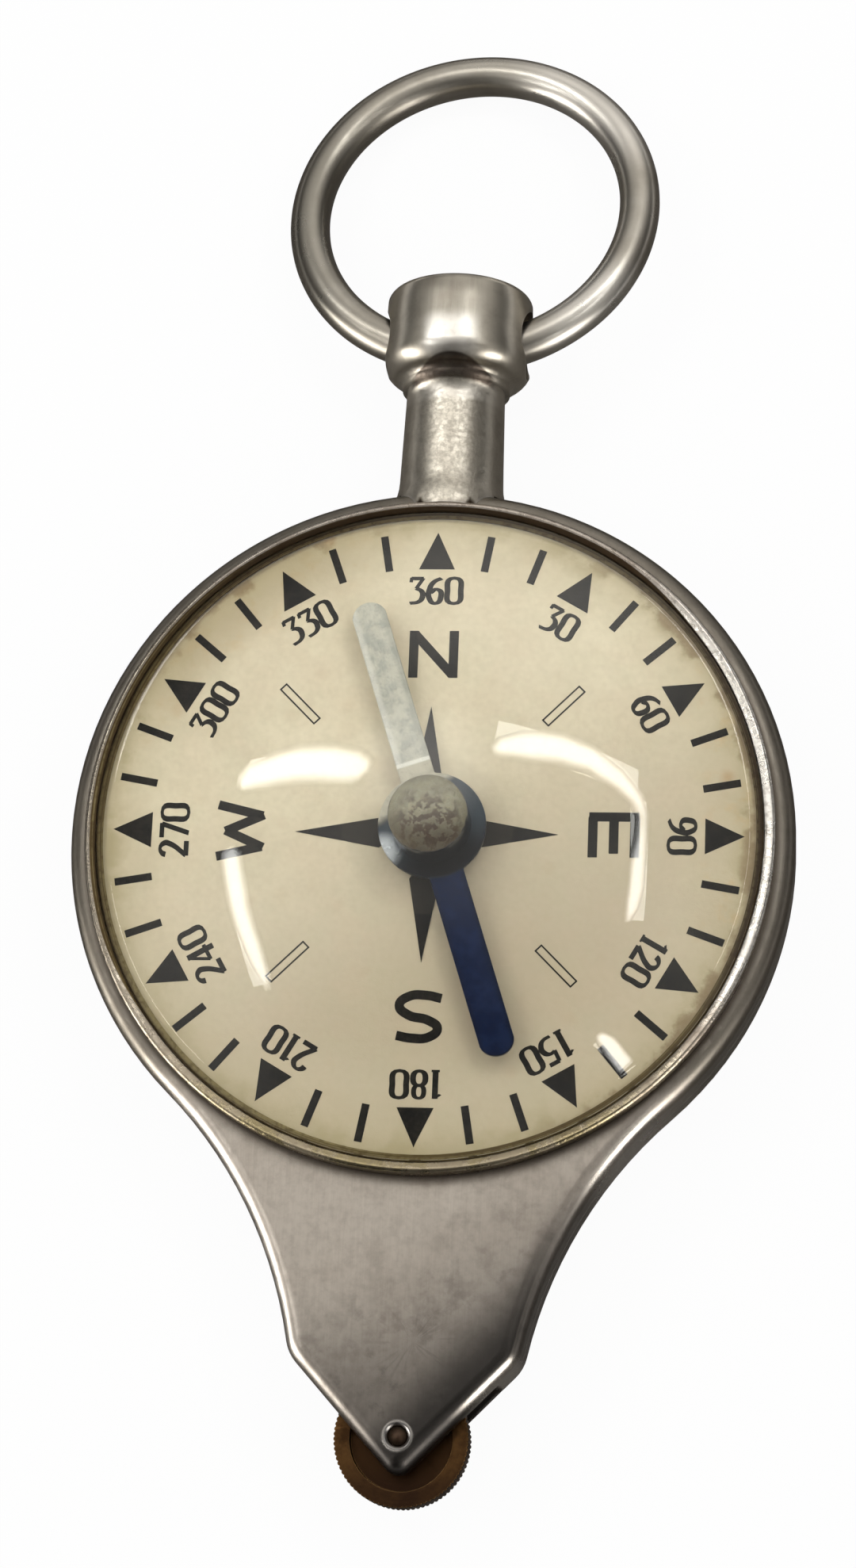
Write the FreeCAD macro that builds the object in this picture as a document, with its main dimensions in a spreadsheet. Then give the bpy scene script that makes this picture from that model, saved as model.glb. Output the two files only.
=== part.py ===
import FreeCAD, Part
import math
import os

import Sketcher
from FreeCAD import Placement, Rotation, Vector

# A pocket map measurer (opisometer). A toothed tracing wheel at the tip of a pear-shaped case rolls
# along a route, and a watch-like gear train turns a hand over a scale on one side. The other side
# is a compass with a floating needle. A finger ring swings in the head of the stem.
#
# Frame, in millimetres: the measure lies on its scale side. The origin is on the axis of both dials,
# in the plane of the scale bezel's rim. +Z points to the compass and +Y to the finger ring.

document = FreeCAD.newDocument("map_measurer")

# ------------------------------------------------------------------------------------------------
# Driving dimensions
# ------------------------------------------------------------------------------------------------

DIMENSIONS = {
    # pear-shaped case
    "seam_height": 3.7,  # plane in which the two half shells meet
    "half_thickness": 2.2,
    "case_radius": 16.35,
    "flank_radius": 20.0,  # hollow curve from the round case to the tail
    "flank_angle": 47.1,  # where it leaves the round case, in degrees below the X axis
    "shoulder_y": -23.2,  # corner between flank and tip
    "shoulder_radius": 1.8,
    "tip_y": -28.5,  # where the sides of the tip would meet
    "tip_radius": 0.7,
    "edge_radius": 0.85,
    "wall": 0.5,
    "corner_shift": 0.47,  # how far a shoulder climbs for each millimetre that the outline shrinks
    "slot_y": -24.1,  # the side walls are open below this line, for the tracing wheel
    "front_cheek": 1.3,
    "back_cheek": 0.62,
    # compass side
    "bezel_outer": 15.45,
    "bezel_inner": 14.95,
    "bezel_rise": 0.9,
    "ledge_inner": 14.3,
    "ledge_rise": 0.4,
    "card_radius": 14.25,
    "dial_thickness": 0.2,
    "crystal_radius": 14.88,
    "crystal_edge": 0.45,
    "crystal_rise": 4.05,
    "crystal_thickness": 0.65,
    "pivot_x": 0.3,  # the needle stands a little to the right of the bezel's axis
    "pivot_radius": 0.5,
    "pivot_head": 0.25,
    "pivot_collar": 0.2,
    "pivot_point": 0.5,
    "pivot_tip": 8.7,
    "needle_length": 21.9,
    "needle_width": 1.55,
    "needle_end": 0.8,
    "needle_hub": 2.4,
    "needle_floor": 6.85,
    "needle_thickness": 0.3,
    "needle_bearing": -18.95,  # where the needle points at rest, in degrees from +Y
    "cap_radius": 1.75,
    "cap_top": 9.65,
    "cap_wall": 1.95,
    "cap_rise": 0.3,
    "jewel_radius": 0.7,
    "jewel_seat": 0.35,  # the jewel's top, over the pivot's point
    "jewel_drop": 0.4,
    # scale side
    "rim_width": 0.6,
    "dial_radius": 14.55,
    "lip_inner": 13.95,
    "lip_thickness": 0.2,
    "glass_radius": 14.45,
    "glass_thickness": 0.5,
    "hand_floor": 0.9,
    "hand_thickness": 0.15,
    "hand_reach": 11.4,
    "hand_tail": 3.6,
    "hand_hub": 1.15,
    "hand_root": 0.42,  # half widths of the hand at its hub, tail and point
    "hand_fishtail": 0.62,
    "hand_point": 0.09,
    "collet_radius": 0.75,
    "collet_height": 0.4,
    "collet_drop": 0.1,
    # stem and finger ring
    "neck_radius": 2.3,
    "neck_base": 2.42,
    "neck_foot": 2.6,
    "neck_flare": 0.9,
    "flare_radius": 2.6,
    "neck_start": 15.6,
    "neck_end": 21.9,
    "collar_radius": 2.52,
    "collar_end": 22.2,
    "throat_radius": 0.6,
    "belly_start": 22.5,
    "belly_inner": 2.95,
    "belly_radius": 1.1,
    "head_start": 23.4,
    "head_end": 26.85,
    "head_radius": 3.52,
    "head_top": 3.42,
    "head_corner": 0.5,
    "crown_rise": 0.12,
    "stud_radius": 1.1,
    "stud_end": 13.7,
    "nut_flats": 3.0,
    "nut_floor": 14.55,
    "nut_thickness": 0.95,
    "stud_bevel": 0.25,
    "eye_y": 24.35,
    "eye_radius": 1.6,
    "ring_radius": 8.0,
    "ring_wire": 0.95,
    "ring_offset": 7.51,  # from the eye's axis to the middle of the ring
    "ring_shift": 0.26,
    "ring_dip": 9.65,  # the far side of the ring rests on the table
    "ring_twist": 3.7,  # by its play in the eye, the right side stands higher
    # gear train, along the centre line of the case
    "tracer_y": -26.6,
    "first_y": -20.6,
    "second_y": -14.0,
    "tip_module": 0.3,
    "main_module": 0.4,
    "tracer_leaves": 12,
    "first_teeth": 28,
    "first_leaves": 11,
    "second_teeth": 33,
    "second_leaves": 8,
    "centre_teeth": 62,
    "tooth_share": 0.47,  # a wheel's tooth, as a share of the pitch
    "leaf_share": 0.38,
    "tooth_addendum": 1.3,  # heights over and under the pitch circle, in modules
    "leaf_addendum": 0.9,
    "tooth_dedendum": 1.5,
    "leaf_dedendum": 1.75,
    "low_leaf_floor": 2.2,
    "low_leaf_width": 0.75,
    "low_wheel_floor": 2.3,
    "high_leaf_floor": 3.2,
    "high_leaf_width": 0.85,
    "high_wheel_floor": 3.4,
    "wheel_thickness": 0.4,
    "wheel_rim": 0.9,
    "wheel_hub": 1.4,
    "spoke_width": 0.8,
    "spokes": 5,
    "arbor_radius": 0.55,
    "journal_radius": 0.28,
    "running_gap": 0.03,
    "tracer_journal": 0.4,
    # tracing wheel: 54.25 turns of it, one turn of the hand, are a metre on the map
    "tracing_radius": 2.934,
    "tracing_floor": 3.0,
    "tracing_width": 1.4,
    "tracing_rim": 0.7,
    "tracing_hub": 1.0,
    "web_depth": 0.4,
    "knurl_depth": 0.06,
    "knurls": 84,
    # bridge that carries the train
    "bridge_floor": 4.4,
    "bridge_thickness": 0.4,
    "tongue_end": -22.0,
    "tongue_width": 3.2,
    "tongue_root": -15.8,
    "waist_half": 3.3,
    "waist_y": -7.1,
    "bridge_notch": 6.0,
    "plate_margin": 1.1,  # of the plate round a pillar's axis
    "low_pillar_x": 8.1,
    "low_pillar_y": -12.3,
    "high_pillar_x": 10.6,
    "high_pillar_y": 9.6,
    "pillar_radius": 0.75,
    "screw_head": 0.7,
    "screw_rise": 0.45,
    "screw_shank": 0.35,
    "screw_length": 1.6,
    "screw_slot": 0.2,
    "bush_radius": 0.6,
    "bush_sink": 0.13,
    "centre_bush_radius": 0.9,
    "centre_bush_rise": 0.25,
}

sheet = document.addObject("Spreadsheet::Sheet", "size")
for row, (alias, number) in enumerate(DIMENSIONS.items(), start=1):
    sheet.set(f"A{row}", alias)
    sheet.set(f"B{row}", str(number))
    sheet.setAlias(f"B{row}", alias)
document.recompute()

PLATE = "size.wall"
FRONT = "(size.seam_height + size.half_thickness)"
BACK = "(size.seam_height - size.half_thickness)"
BACK_INSIDE = f"({BACK} + {PLATE})"
parts = []


def value(expression):
    """The number that an expression over the sheet comes to."""
    return float(sheet.evalExpression(expression))


# ------------------------------------------------------------------------------------------------
# Sketching and features
# ------------------------------------------------------------------------------------------------


def new_body(label, x="0", y="0", z="0", turn="0"):
    """An empty body, placed beside the origin and turned about the vertical by an angle."""
    body = document.addObject("PartDesign::Body", label)
    body.Label = label
    place = Vector(value(x), value(y), value(z))
    body.Placement = Placement(place, Rotation(Vector(0, 0, 1), value(turn)))
    for path, expression in (("Base.x", x), ("Base.y", y), ("Base.z", z), ("Rotation.Angle", turn)):
        if expression != "0":
            body.setExpression(f"Placement.{path}", expression)
    parts.append(body)
    return body


def new_sketch(body, name, plane="XY_Plane", lift="0"):
    """A sketch on one of the body's own origin planes, or lifted from it."""
    sketch = body.newObject("Sketcher::SketchObject", f"{body.Name}_{name}")
    support = next(face for face in body.Origin.OriginFeatures if face.Role == plane)
    sketch.AttachmentSupport = [(support, "")]
    sketch.MapMode = "FlatFace"
    if lift != "0":
        sketch.setExpression("AttachmentOffset.Base.z", lift)
    return sketch


def fix(sketch, kind, place, expression):
    """A dimension of the sketch, driven by the sheet."""
    index = sketch.addConstraint(Sketcher.Constraint(kind, *place, value(expression)))
    sketch.setExpression(f"Constraints[{index}]", expression)


def fix_point(sketch, curve, end, x, y):
    """Holds one end of a curve at x, y; a zero puts it on the sketch's own axis."""
    if x == "0":
        sketch.addConstraint(Sketcher.Constraint("PointOnObject", curve, end, -2))
    else:
        fix(sketch, "DistanceX", (-1, 1, curve, end), x)
    if y == "0":
        sketch.addConstraint(Sketcher.Constraint("PointOnObject", curve, end, -1))
    else:
        fix(sketch, "DistanceY", (-1, 1, curve, end), y)


def circle(sketch, radius, x="0", y="0"):
    """A full circle, driven by its radius and centre."""
    middle = Vector(value(x), value(y), 0)
    curve = sketch.addGeometry(Part.Circle(middle, Vector(0, 0, 1), value(radius)))
    fix(sketch, "Radius", (curve,), radius)
    fix_point(sketch, curve, 3, x, y)


def outline(sketch, points):
    """A closed outline. A point is (x, y), or (x, y, radius) where an arc leads to the next point:
    it swells to the right of the way there, or to the left if the radius starts with a minus."""
    ends = [Vector(value(point[0]), value(point[1]), 0) for point in points]
    placed = []
    for i, point in enumerate(points):
        start = ends[i]
        end = ends[(i + 1) % len(points)]
        if len(point) == 2:
            curve = sketch.addGeometry(Part.LineSegment(start, end))
            placed.append((curve, 1, 2))
            continue
        side = -1 if point[2].startswith("-") else 1
        radius = value(point[2].lstrip("-"))
        way = end - start
        left = Vector(-way.y, way.x, 0).normalize() * side
        middle = (start + end) / 2 + left * math.sqrt(max(radius**2 - way.Length**2 / 4, 0))
        turn_from, turn_to = (start, end) if side > 0 else (end, start)
        angles = [math.atan2(p.y - middle.y, p.x - middle.x) for p in (turn_from, turn_to)]
        arc = Part.ArcOfCircle(Part.Circle(middle, Vector(0, 0, 1), radius), *angles)
        curve = sketch.addGeometry(arc)
        placed.append((curve, 1, 2) if side > 0 else (curve, 2, 1))
    for i, (curve, _, last) in enumerate(placed):
        following, first, _ = placed[(i + 1) % len(points)]
        sketch.addConstraint(Sketcher.Constraint("Coincident", curve, last, following, first))
    for point, (curve, first, _) in zip(points, placed):
        fix_point(sketch, curve, first, point[0], point[1])
        if len(point) == 3:
            fix(sketch, "Radius", (curve,), point[2].lstrip("-"))


def crown(rise, half_width):
    """The radius of an arc that climbs by its rise from a half width out to its top on the axis."""
    return f"(({half_width}^2 + {rise}^2) / (2 * {rise}))"


def pad(body, sketch, length):
    """Material raised from the sketch."""
    feature = body.newObject("PartDesign::Pad", f"{sketch.Name}_pad")
    feature.Profile = sketch
    feature.setExpression("Length", length)
    document.recompute()
    return feature


def pocket(body, sketch, length=None, upward=True):
    """Material cut away from the sketch, along its normal or against it, or both ways without a length."""
    before = body.Shape.Volume
    feature = body.newObject("PartDesign::Pocket", f"{sketch.Name}_pocket")
    feature.Profile = sketch
    feature.Reversed = upward
    if length is None:
        feature.Type = "ThroughAll"
        feature.SideType = "Symmetric"
    else:
        feature.setExpression("Length", length)
    document.recompute()
    if not body.Shape.Volume < before - 1e-6:
        raise RuntimeError(f"{feature.Name} cuts nothing")
    return feature


def turned(body, sketch, kind="Revolution"):
    """Material turned about the sketch's upright axis, added, or cut away by a Groove."""
    before = body.Shape.Volume if kind == "Groove" else math.inf
    feature = body.newObject(f"PartDesign::{kind}", f"{sketch.Name}_{kind.lower()}")
    feature.Profile = sketch
    feature.ReferenceAxis = (sketch, ["V_Axis"])
    feature.Angle = 360
    document.recompute()
    if kind == "Groove" and not body.Shape.Volume < before - 1e-6:
        raise RuntimeError(f"{feature.Name} cuts nothing")
    return feature


def around(body, feature, count):
    """The feature, repeated evenly about the body's upright axis."""
    pattern = body.newObject("PartDesign::PolarPattern", f"{feature.Name}_pattern")
    pattern.Originals = [feature]
    pattern.Axis = (feature.Profile[0], ["N_Axis"])
    pattern.Angle = 360
    pattern.setExpression("Occurrences", count)
    body.Tip = pattern
    document.recompute()
    return pattern


def dress(body, kind, wanted, size_name, size_expression):
    """A Fillet or Chamfer on the edges of the body that pass a test."""
    edges = [f"Edge{i}" for i, edge in enumerate(body.Tip.Shape.Edges, start=1) if wanted(edge)]
    if not edges:
        raise RuntimeError(f"{body.Name} has no edge for its {kind}")
    feature = body.newObject(f"PartDesign::{kind}", f"{body.Name}_{kind.lower()}")
    feature.Base = (body.Tip if body.Tip != feature else feature.BaseFeature, edges)
    feature.setExpression(size_name, size_expression)
    document.recompute()
    return feature


def round_off(body, wanted, radius):
    return dress(body, "Fillet", wanted, "Radius", radius)


def bevel_off(body, wanted, width):
    return dress(body, "Chamfer", wanted, "Size", width)


def lies_at(height):
    """A test for edges that lie flat at a height in the body."""
    level = value(height)
    return lambda edge: abs(edge.BoundBox.ZMin - level) < 1e-4 and abs(edge.BoundBox.ZMax - level) < 1e-4


def upright_at(y):
    """A test for upright edges of the body at one distance along the case."""
    level = value(y)
    return lambda edge: edge.BoundBox.ZLength > 1 and abs(edge.BoundBox.Center.y - level) < 1e-4


def circle_at(height, radius):
    """A test for the round edge of one radius at a height in the body."""
    flat = lies_at(height)
    size = value(radius)
    return lambda edge: flat(edge) and abs(getattr(edge.Curve, "Radius", 0) - size) < 1e-4


def stack(sketch, floor, steps):
    """The half section of a stepped turned piece: each step is (radius, height of its top)."""
    points = [("0", floor)]
    below = floor
    for radius, top in steps:
        points += [(radius, below), (radius, top)]
        below = top
    outline(sketch, points + [("0", below)])


# ------------------------------------------------------------------------------------------------
# Case: two half shells that meet at mid height, each drawn from the seam outwards
# ------------------------------------------------------------------------------------------------


def pear(sketch, inset="0"):
    """The case's outline, drawn in by an inset: round case, hollow flanks and a pointed tip."""
    flank_x = "(size.case_radius + size.flank_radius) * cos(size.flank_angle)"
    flank_y = "-(size.case_radius + size.flank_radius) * sin(size.flank_angle)"
    radius = f"(size.case_radius - {inset})"
    hollow = f"(size.flank_radius + {inset})"
    leave_x = f"{radius} * cos(size.flank_angle)"
    leave_y = f"-{radius} * sin(size.flank_angle)"
    shoulder_y = f"(size.shoulder_y + size.corner_shift * {inset})"
    shoulder_x = f"({flank_x} - sqrt({hollow}^2 - ({shoulder_y} - ({flank_y}))^2))"
    corner_x = value(f"{flank_x} - sqrt(size.flank_radius^2 - (size.shoulder_y - ({flank_y}))^2)")
    half_tip = math.degrees(math.atan2(corner_x, value("size.shoulder_y - size.tip_y")))
    tip_y = f"(size.tip_y + {inset} / sin({half_tip}))"
    outline(
        sketch,
        [
            ("0", tip_y),
            (shoulder_x, shoulder_y, f"-{hollow}"),
            (leave_x, leave_y, radius),
            ("0", radius, radius),
            (f"-{leave_x}", leave_y, f"-{hollow}"),
            (f"-{shoulder_x}", shoulder_y),
        ],
    )


def half_shell(label, cheek):
    """One half of the case: a dished plate, with its side walls cut open beside the tracing wheel."""
    body = new_body(label, z="size.seam_height")
    blank = new_sketch(body, "outline")
    pear(blank)
    pad(body, blank, "size.half_thickness")
    round_off(body, upright_at("size.shoulder_y"), "size.shoulder_radius")
    round_off(body, upright_at("size.tip_y"), "size.tip_radius")
    round_off(body, lies_at("size.half_thickness"), "size.edge_radius")
    cavity = new_sketch(body, "cavity")
    pear(cavity, "size.wall")
    pocket(body, cavity, "size.half_thickness - size.wall")
    slot = new_sketch(body, "wheel_slot")
    reach = "size.case_radius / 2"
    below = "size.tip_y * 1.1"
    outline(
        slot,
        [(f"-{reach}", below), (reach, below), (reach, "size.slot_y"), (f"-{reach}", "size.slot_y")],
    )
    pocket(body, slot, f"size.half_thickness - {cheek}")
    stud_way = new_sketch(body, "stud_way", plane="XZ_Plane")
    circle(stud_way, "size.stud_radius")
    pocket(body, stud_way, "size.case_radius * 1.1", upward=False)
    tip_hole = new_sketch(body, "tip_hole")
    circle(tip_hole, "size.bush_radius", y="size.tracer_y")
    pocket(body, tip_hole, "size.half_thickness")
    return body


front_shell = half_shell("front_shell", "size.front_cheek")
rivet_hole = new_sketch(front_shell, "rivet_hole")
circle(rivet_hole, "size.pivot_radius", x="size.pivot_x")
pocket(front_shell, rivet_hole, "size.half_thickness")

back_shell = half_shell("back_shell", "size.back_cheek")
bush_hole = new_sketch(back_shell, "bush_hole")
circle(bush_hole, "size.centre_bush_radius")
pocket(back_shell, bush_hole, "size.half_thickness")
bearings = new_sketch(back_shell, "blind_bearings", lift="size.half_thickness - size.wall")
for bearing_y in ("size.first_y", "size.second_y"):
    circle(bearings, "size.journal_radius + size.running_gap", y=bearing_y)
pocket(back_shell, bearings, "size.wall * 0.6")
back_shell.Placement = Placement(Vector(0, 0, value("size.seam_height")), Rotation(Vector(0, 1, 0), 180))


# ------------------------------------------------------------------------------------------------
# Compass side
# ------------------------------------------------------------------------------------------------

compass_bezel = new_body("compass_bezel", z=FRONT)
section = new_sketch(compass_bezel, "section", plane="XZ_Plane")
outline(
    section,
    [
        ("size.ledge_inner", "0"),
        ("size.bezel_outer", "0"),
        ("size.bezel_outer", "size.bezel_rise"),
        ("size.bezel_inner", "size.bezel_rise"),
        ("size.bezel_inner", "size.ledge_rise"),
        ("size.ledge_inner", "size.ledge_rise"),
    ],
)
turned(compass_bezel, section)
round_off(compass_bezel, circle_at("size.bezel_rise", "size.bezel_outer"), "size.bezel_rise / 3")
round_off(compass_bezel, circle_at("size.bezel_rise", "size.bezel_inner"), "size.bezel_rise / 9")

compass_dial = new_body("compass_dial", z=FRONT)
card = new_sketch(compass_dial, "card")
circle(card, "size.card_radius")
circle(card, "size.pivot_radius", x="size.pivot_x")
pad(compass_dial, card, "size.dial_thickness")

compass_crystal = new_body("compass_crystal", z=f"{FRONT} + size.ledge_rise")
section = new_sketch(compass_crystal, "section", plane="XZ_Plane")
inner_edge = "(size.crystal_radius - size.crystal_thickness * 0.8)"
apex = "(size.crystal_edge + size.crystal_rise)"
inner_apex = f"({apex} - size.crystal_thickness)"
outline(
    section,
    [
        (inner_edge, "0"),
        ("size.crystal_radius", "0"),
        (
            "size.crystal_radius",
            "size.crystal_edge",
            crown("size.crystal_rise", "size.crystal_radius"),
        ),
        ("0", apex),
        ("0", inner_apex, "-" + crown(inner_apex, inner_edge)),
    ],
)
turned(compass_crystal, section)

# The pivot is riveted through the case and the dial, and ends in a hard point under the jewel.
compass_pivot = new_body("compass_pivot", x="size.pivot_x")
section = new_sketch(compass_pivot, "section", plane="XZ_Plane")
plate_inside = f"({FRONT} - {PLATE})"
collar_floor = f"({FRONT} + size.dial_thickness)"
outline(
    section,
    [
        ("0", f"{plate_inside} - size.pivot_head"),
        ("size.pivot_radius * 2", f"{plate_inside} - size.pivot_head"),
        ("size.pivot_radius * 2", plate_inside),
        ("size.pivot_radius", plate_inside),
        ("size.pivot_radius", collar_floor),
        ("size.pivot_radius * 2", collar_floor),
        ("size.pivot_radius * 2", f"{collar_floor} + size.pivot_collar"),
        ("size.pivot_radius * 0.7", f"{collar_floor} + size.pivot_collar * 2"),
        ("size.pivot_radius * 0.5", "size.pivot_tip - size.pivot_point"),
        ("0", "size.pivot_tip"),
    ],
)
turned(compass_pivot, section)

# The needle is a flat strip with round ends and a round boss at the middle.
needle_blade = new_body(
    "needle_blade", x="size.pivot_x", z="size.needle_floor", turn="-size.needle_bearing"
)
strip = new_sketch(needle_blade, "strip")
half_width = "size.needle_width / 2"
end_y = "(size.needle_length / 2 - size.needle_width / 2)"
waist_y = "sqrt(size.needle_hub^2 - (size.needle_width / 2)^2)"
outline(
    strip,
    [
        (f"-{half_width}", f"-{end_y}", "size.needle_end"),
        (half_width, f"-{end_y}"),
        (half_width, f"-{waist_y}", "size.needle_hub"),
        (half_width, waist_y),
        (half_width, end_y, "size.needle_end"),
        (f"-{half_width}", end_y),
        (f"-{half_width}", waist_y, "size.needle_hub"),
        (f"-{half_width}", f"-{waist_y}"),
    ],
)
cap_tube = "(size.jewel_radius * 1.5)"
circle(strip, cap_tube)
pad(needle_blade, strip, "size.needle_thickness")

needle_cap = new_body("needle_cap", x="size.pivot_x")
section = new_sketch(needle_cap, "section", plane="XZ_Plane")
cap_floor = "(size.needle_floor + size.needle_thickness)"
cap_edge = "(size.cap_radius * 0.8)"
jewel_top = "(size.pivot_tip + size.jewel_seat)"
jewel_floor = "(size.pivot_tip - size.jewel_drop)"
outline(
    section,
    [
        ("size.jewel_radius", "size.needle_floor"),
        (cap_tube, "size.needle_floor"),
        (cap_tube, cap_floor),
        ("size.cap_radius", cap_floor),
        ("size.cap_radius", f"{cap_floor} + size.cap_wall"),
        (cap_edge, "size.cap_top - size.cap_rise", crown("size.cap_rise", cap_edge)),
        ("0", "size.cap_top"),
        ("0", jewel_top),
        ("size.jewel_radius", jewel_top),
    ],
)
turned(needle_cap, section)

needle_jewel = new_body("needle_jewel", x="size.pivot_x")
section = new_sketch(needle_jewel, "section", plane="XZ_Plane")
outline(
    section,
    [
        ("size.jewel_radius", jewel_floor),
        ("size.jewel_radius", jewel_top),
        ("0", jewel_top),
        ("0", "size.pivot_tip + size.running_gap"),
        ("size.jewel_radius * 0.85", jewel_floor),
    ],
)
turned(needle_jewel, section)


# ------------------------------------------------------------------------------------------------
# Scale side
# ------------------------------------------------------------------------------------------------

measuring_bezel = new_body("measuring_bezel")
section = new_sketch(measuring_bezel, "section", plane="XZ_Plane")
outline(
    section,
    [
        ("size.lip_inner", "0"),
        ("size.bezel_outer", "0"),
        ("size.bezel_outer", BACK),
        ("size.dial_radius", BACK),
        ("size.dial_radius", "size.lip_thickness"),
        ("size.lip_inner", "size.lip_thickness"),
    ],
)
turned(measuring_bezel, section)
round_off(measuring_bezel, circle_at("0", "size.bezel_outer"), "size.rim_width")

measuring_crystal = new_body("measuring_crystal", z="size.lip_thickness")
pane = new_sketch(measuring_crystal, "pane")
circle(pane, "size.glass_radius")
pad(measuring_crystal, pane, "size.glass_thickness")
bevel_off(measuring_crystal, lies_at("size.glass_thickness"), "size.glass_thickness / 5")

measuring_dial = new_body("measuring_dial", z=f"{BACK} - size.dial_thickness")
card = new_sketch(measuring_dial, "card")
circle(card, "size.dial_radius - 0.05")
circle(card, "size.centre_bush_radius")
pad(measuring_dial, card, "size.dial_thickness")


# ------------------------------------------------------------------------------------------------
# Stem, its nut inside the case, and the finger ring
# ------------------------------------------------------------------------------------------------

stem = new_body("stem", z="size.seam_height")
section = new_sketch(stem, "section")
crown_edge = "(size.head_top - size.head_corner)"
outline(
    section,
    [
        ("0", "size.neck_start"),
        ("size.neck_foot", "size.neck_start"),
        ("size.neck_foot", "size.case_radius", "-size.flare_radius"),
        ("size.neck_base", "size.case_radius + size.neck_flare"),
        ("size.neck_radius", "size.neck_end"),
        ("size.collar_radius", "size.neck_end"),
        ("size.collar_radius", "size.collar_end", "-size.throat_radius"),
        ("size.belly_inner", "size.belly_start", "size.belly_radius"),
        ("size.head_radius", "size.head_start"),
        ("size.head_top", "size.head_end - size.head_corner", "size.head_corner * 1.05"),
        (crown_edge, "size.head_end - size.crown_rise", crown("size.crown_rise", crown_edge)),
        ("0", "size.head_end"),
    ],
)
turned(stem, section)
# the foot of the neck is hollowed to sit on the round edge of the case
seat = new_sketch(stem, "seat", plane="YZ_Plane")
straight = "(size.half_thickness - size.edge_radius)"
outline(
    seat,
    [
        ("0", "-size.half_thickness"),
        ("size.case_radius - size.edge_radius", "-size.half_thickness", "size.edge_radius"),
        ("size.case_radius", f"-{straight}"),
        ("size.case_radius", straight, "size.edge_radius"),
        ("size.case_radius - size.edge_radius", "size.half_thickness"),
        ("0", "size.half_thickness"),
    ],
)
turned(stem, seat, "Groove")
stud = new_sketch(stem, "stud")
outline(
    stud,
    [
        ("0", "size.stud_end"),
        ("size.stud_radius * 0.8", "size.stud_end"),
        ("size.stud_radius", "size.stud_end + size.stud_bevel"),
        ("size.stud_radius", "size.case_radius + size.neck_flare"),
        ("0", "size.case_radius + size.neck_flare"),
    ],
)
turned(stem, stud)
eye = new_sketch(stem, "eye", plane="YZ_Plane")
circle(eye, "size.eye_radius", x="size.eye_y")
pocket(stem, eye)

stem_nut = new_body("stem_nut", z="size.seam_height")
hexagon = new_sketch(stem_nut, "hexagon", plane="XZ_Plane", lift="-size.nut_floor")
nut_corner = "(size.nut_flats / sqrt(3))"
outline(
    hexagon,
    [
        (nut_corner, "0"),
        (f"{nut_corner} / 2", "size.nut_flats / 2"),
        (f"-{nut_corner} / 2", "size.nut_flats / 2"),
        (f"-{nut_corner}", "0"),
        (f"-{nut_corner} / 2", "-size.nut_flats / 2"),
        (f"{nut_corner} / 2", "-size.nut_flats / 2"),
    ],
)
circle(hexagon, "size.stud_radius")
pad(stem_nut, hexagon, "size.nut_thickness").Reversed = True

# The ring's wire fills the eye at mid arc, so it swings about the eye's own axis.
finger_ring = document.addObject("Part::Torus", "finger_ring")
finger_ring.Label = "finger_ring"
finger_ring.setExpression("Radius1", "size.ring_radius")
finger_ring.setExpression("Radius2", "size.ring_wire")
dip = Rotation(Vector(1, 0, 0), -value("size.ring_dip"))
twist = Rotation(Vector(0, 1, 0), -value("size.ring_twist"))
finger_ring.Placement = Placement(Vector(), dip * twist)
finger_ring.setExpression("Placement.Base.x", "size.ring_shift")
finger_ring.setExpression("Placement.Base.y", "size.eye_y + size.ring_offset * cos(size.ring_dip)")
finger_ring.setExpression("Placement.Base.z", "size.seam_height - size.ring_offset * sin(size.ring_dip)")
parts.append(finger_ring)


# ------------------------------------------------------------------------------------------------
# Gear train. Teeth and leaves have radial flanks and arched tips, as in a watch.
# ------------------------------------------------------------------------------------------------


def toothed_disc(body, name, teeth, module, share, addendum, dedendum, floor, width):
    """A disc with its tooth gaps cut out, the first of them on the body's +Y side."""
    pitch = f"({module} * {teeth} / 2)"
    blank = new_sketch(body, name, lift=floor)
    circle(blank, f"{pitch} + 0.9 * {addendum} * {module}")
    pad(body, blank, width)
    gap = f"((1 - {share}) * 180 / {teeth})"
    half_tooth = f"({share} * pi * {module} / 2)"
    tip = f"({addendum} * {module})"
    arch = f"(({half_tooth}^2 + {tip}^2) / (2 * {half_tooth}))"
    rise = f"(0.97 * {tip})"
    drift = f"({arch} - sqrt({arch}^2 - {rise}^2))"
    root = f"({pitch} - {dedendum} * {module})"
    root_x = f"({root} * sin({gap}))"
    root_y = f"({root} * cos({gap}))"
    flank_x = f"({pitch} * sin({gap}))"
    flank_y = f"({pitch} * cos({gap}))"
    arch_x = f"(({pitch} + {rise}) * sin({gap}) + {drift} * cos({gap}))"
    arch_y = f"(({pitch} + {rise}) * cos({gap}) - {drift} * sin({gap}))"
    space = new_sketch(body, f"{name}_gap", lift=floor)
    outline(
        space,
        [
            (f"-{root_x}", root_y),
            (root_x, root_y),
            (flank_x, flank_y, f"-{arch}"),
            (arch_x, arch_y),
            ("0", f"({pitch} + {tip}) * 1.3"),
            (f"-{arch_x}", arch_y, f"-{arch}"),
            (f"-{flank_x}", flank_y),
        ],
    )
    around(body, pocket(body, space, width), teeth)


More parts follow.
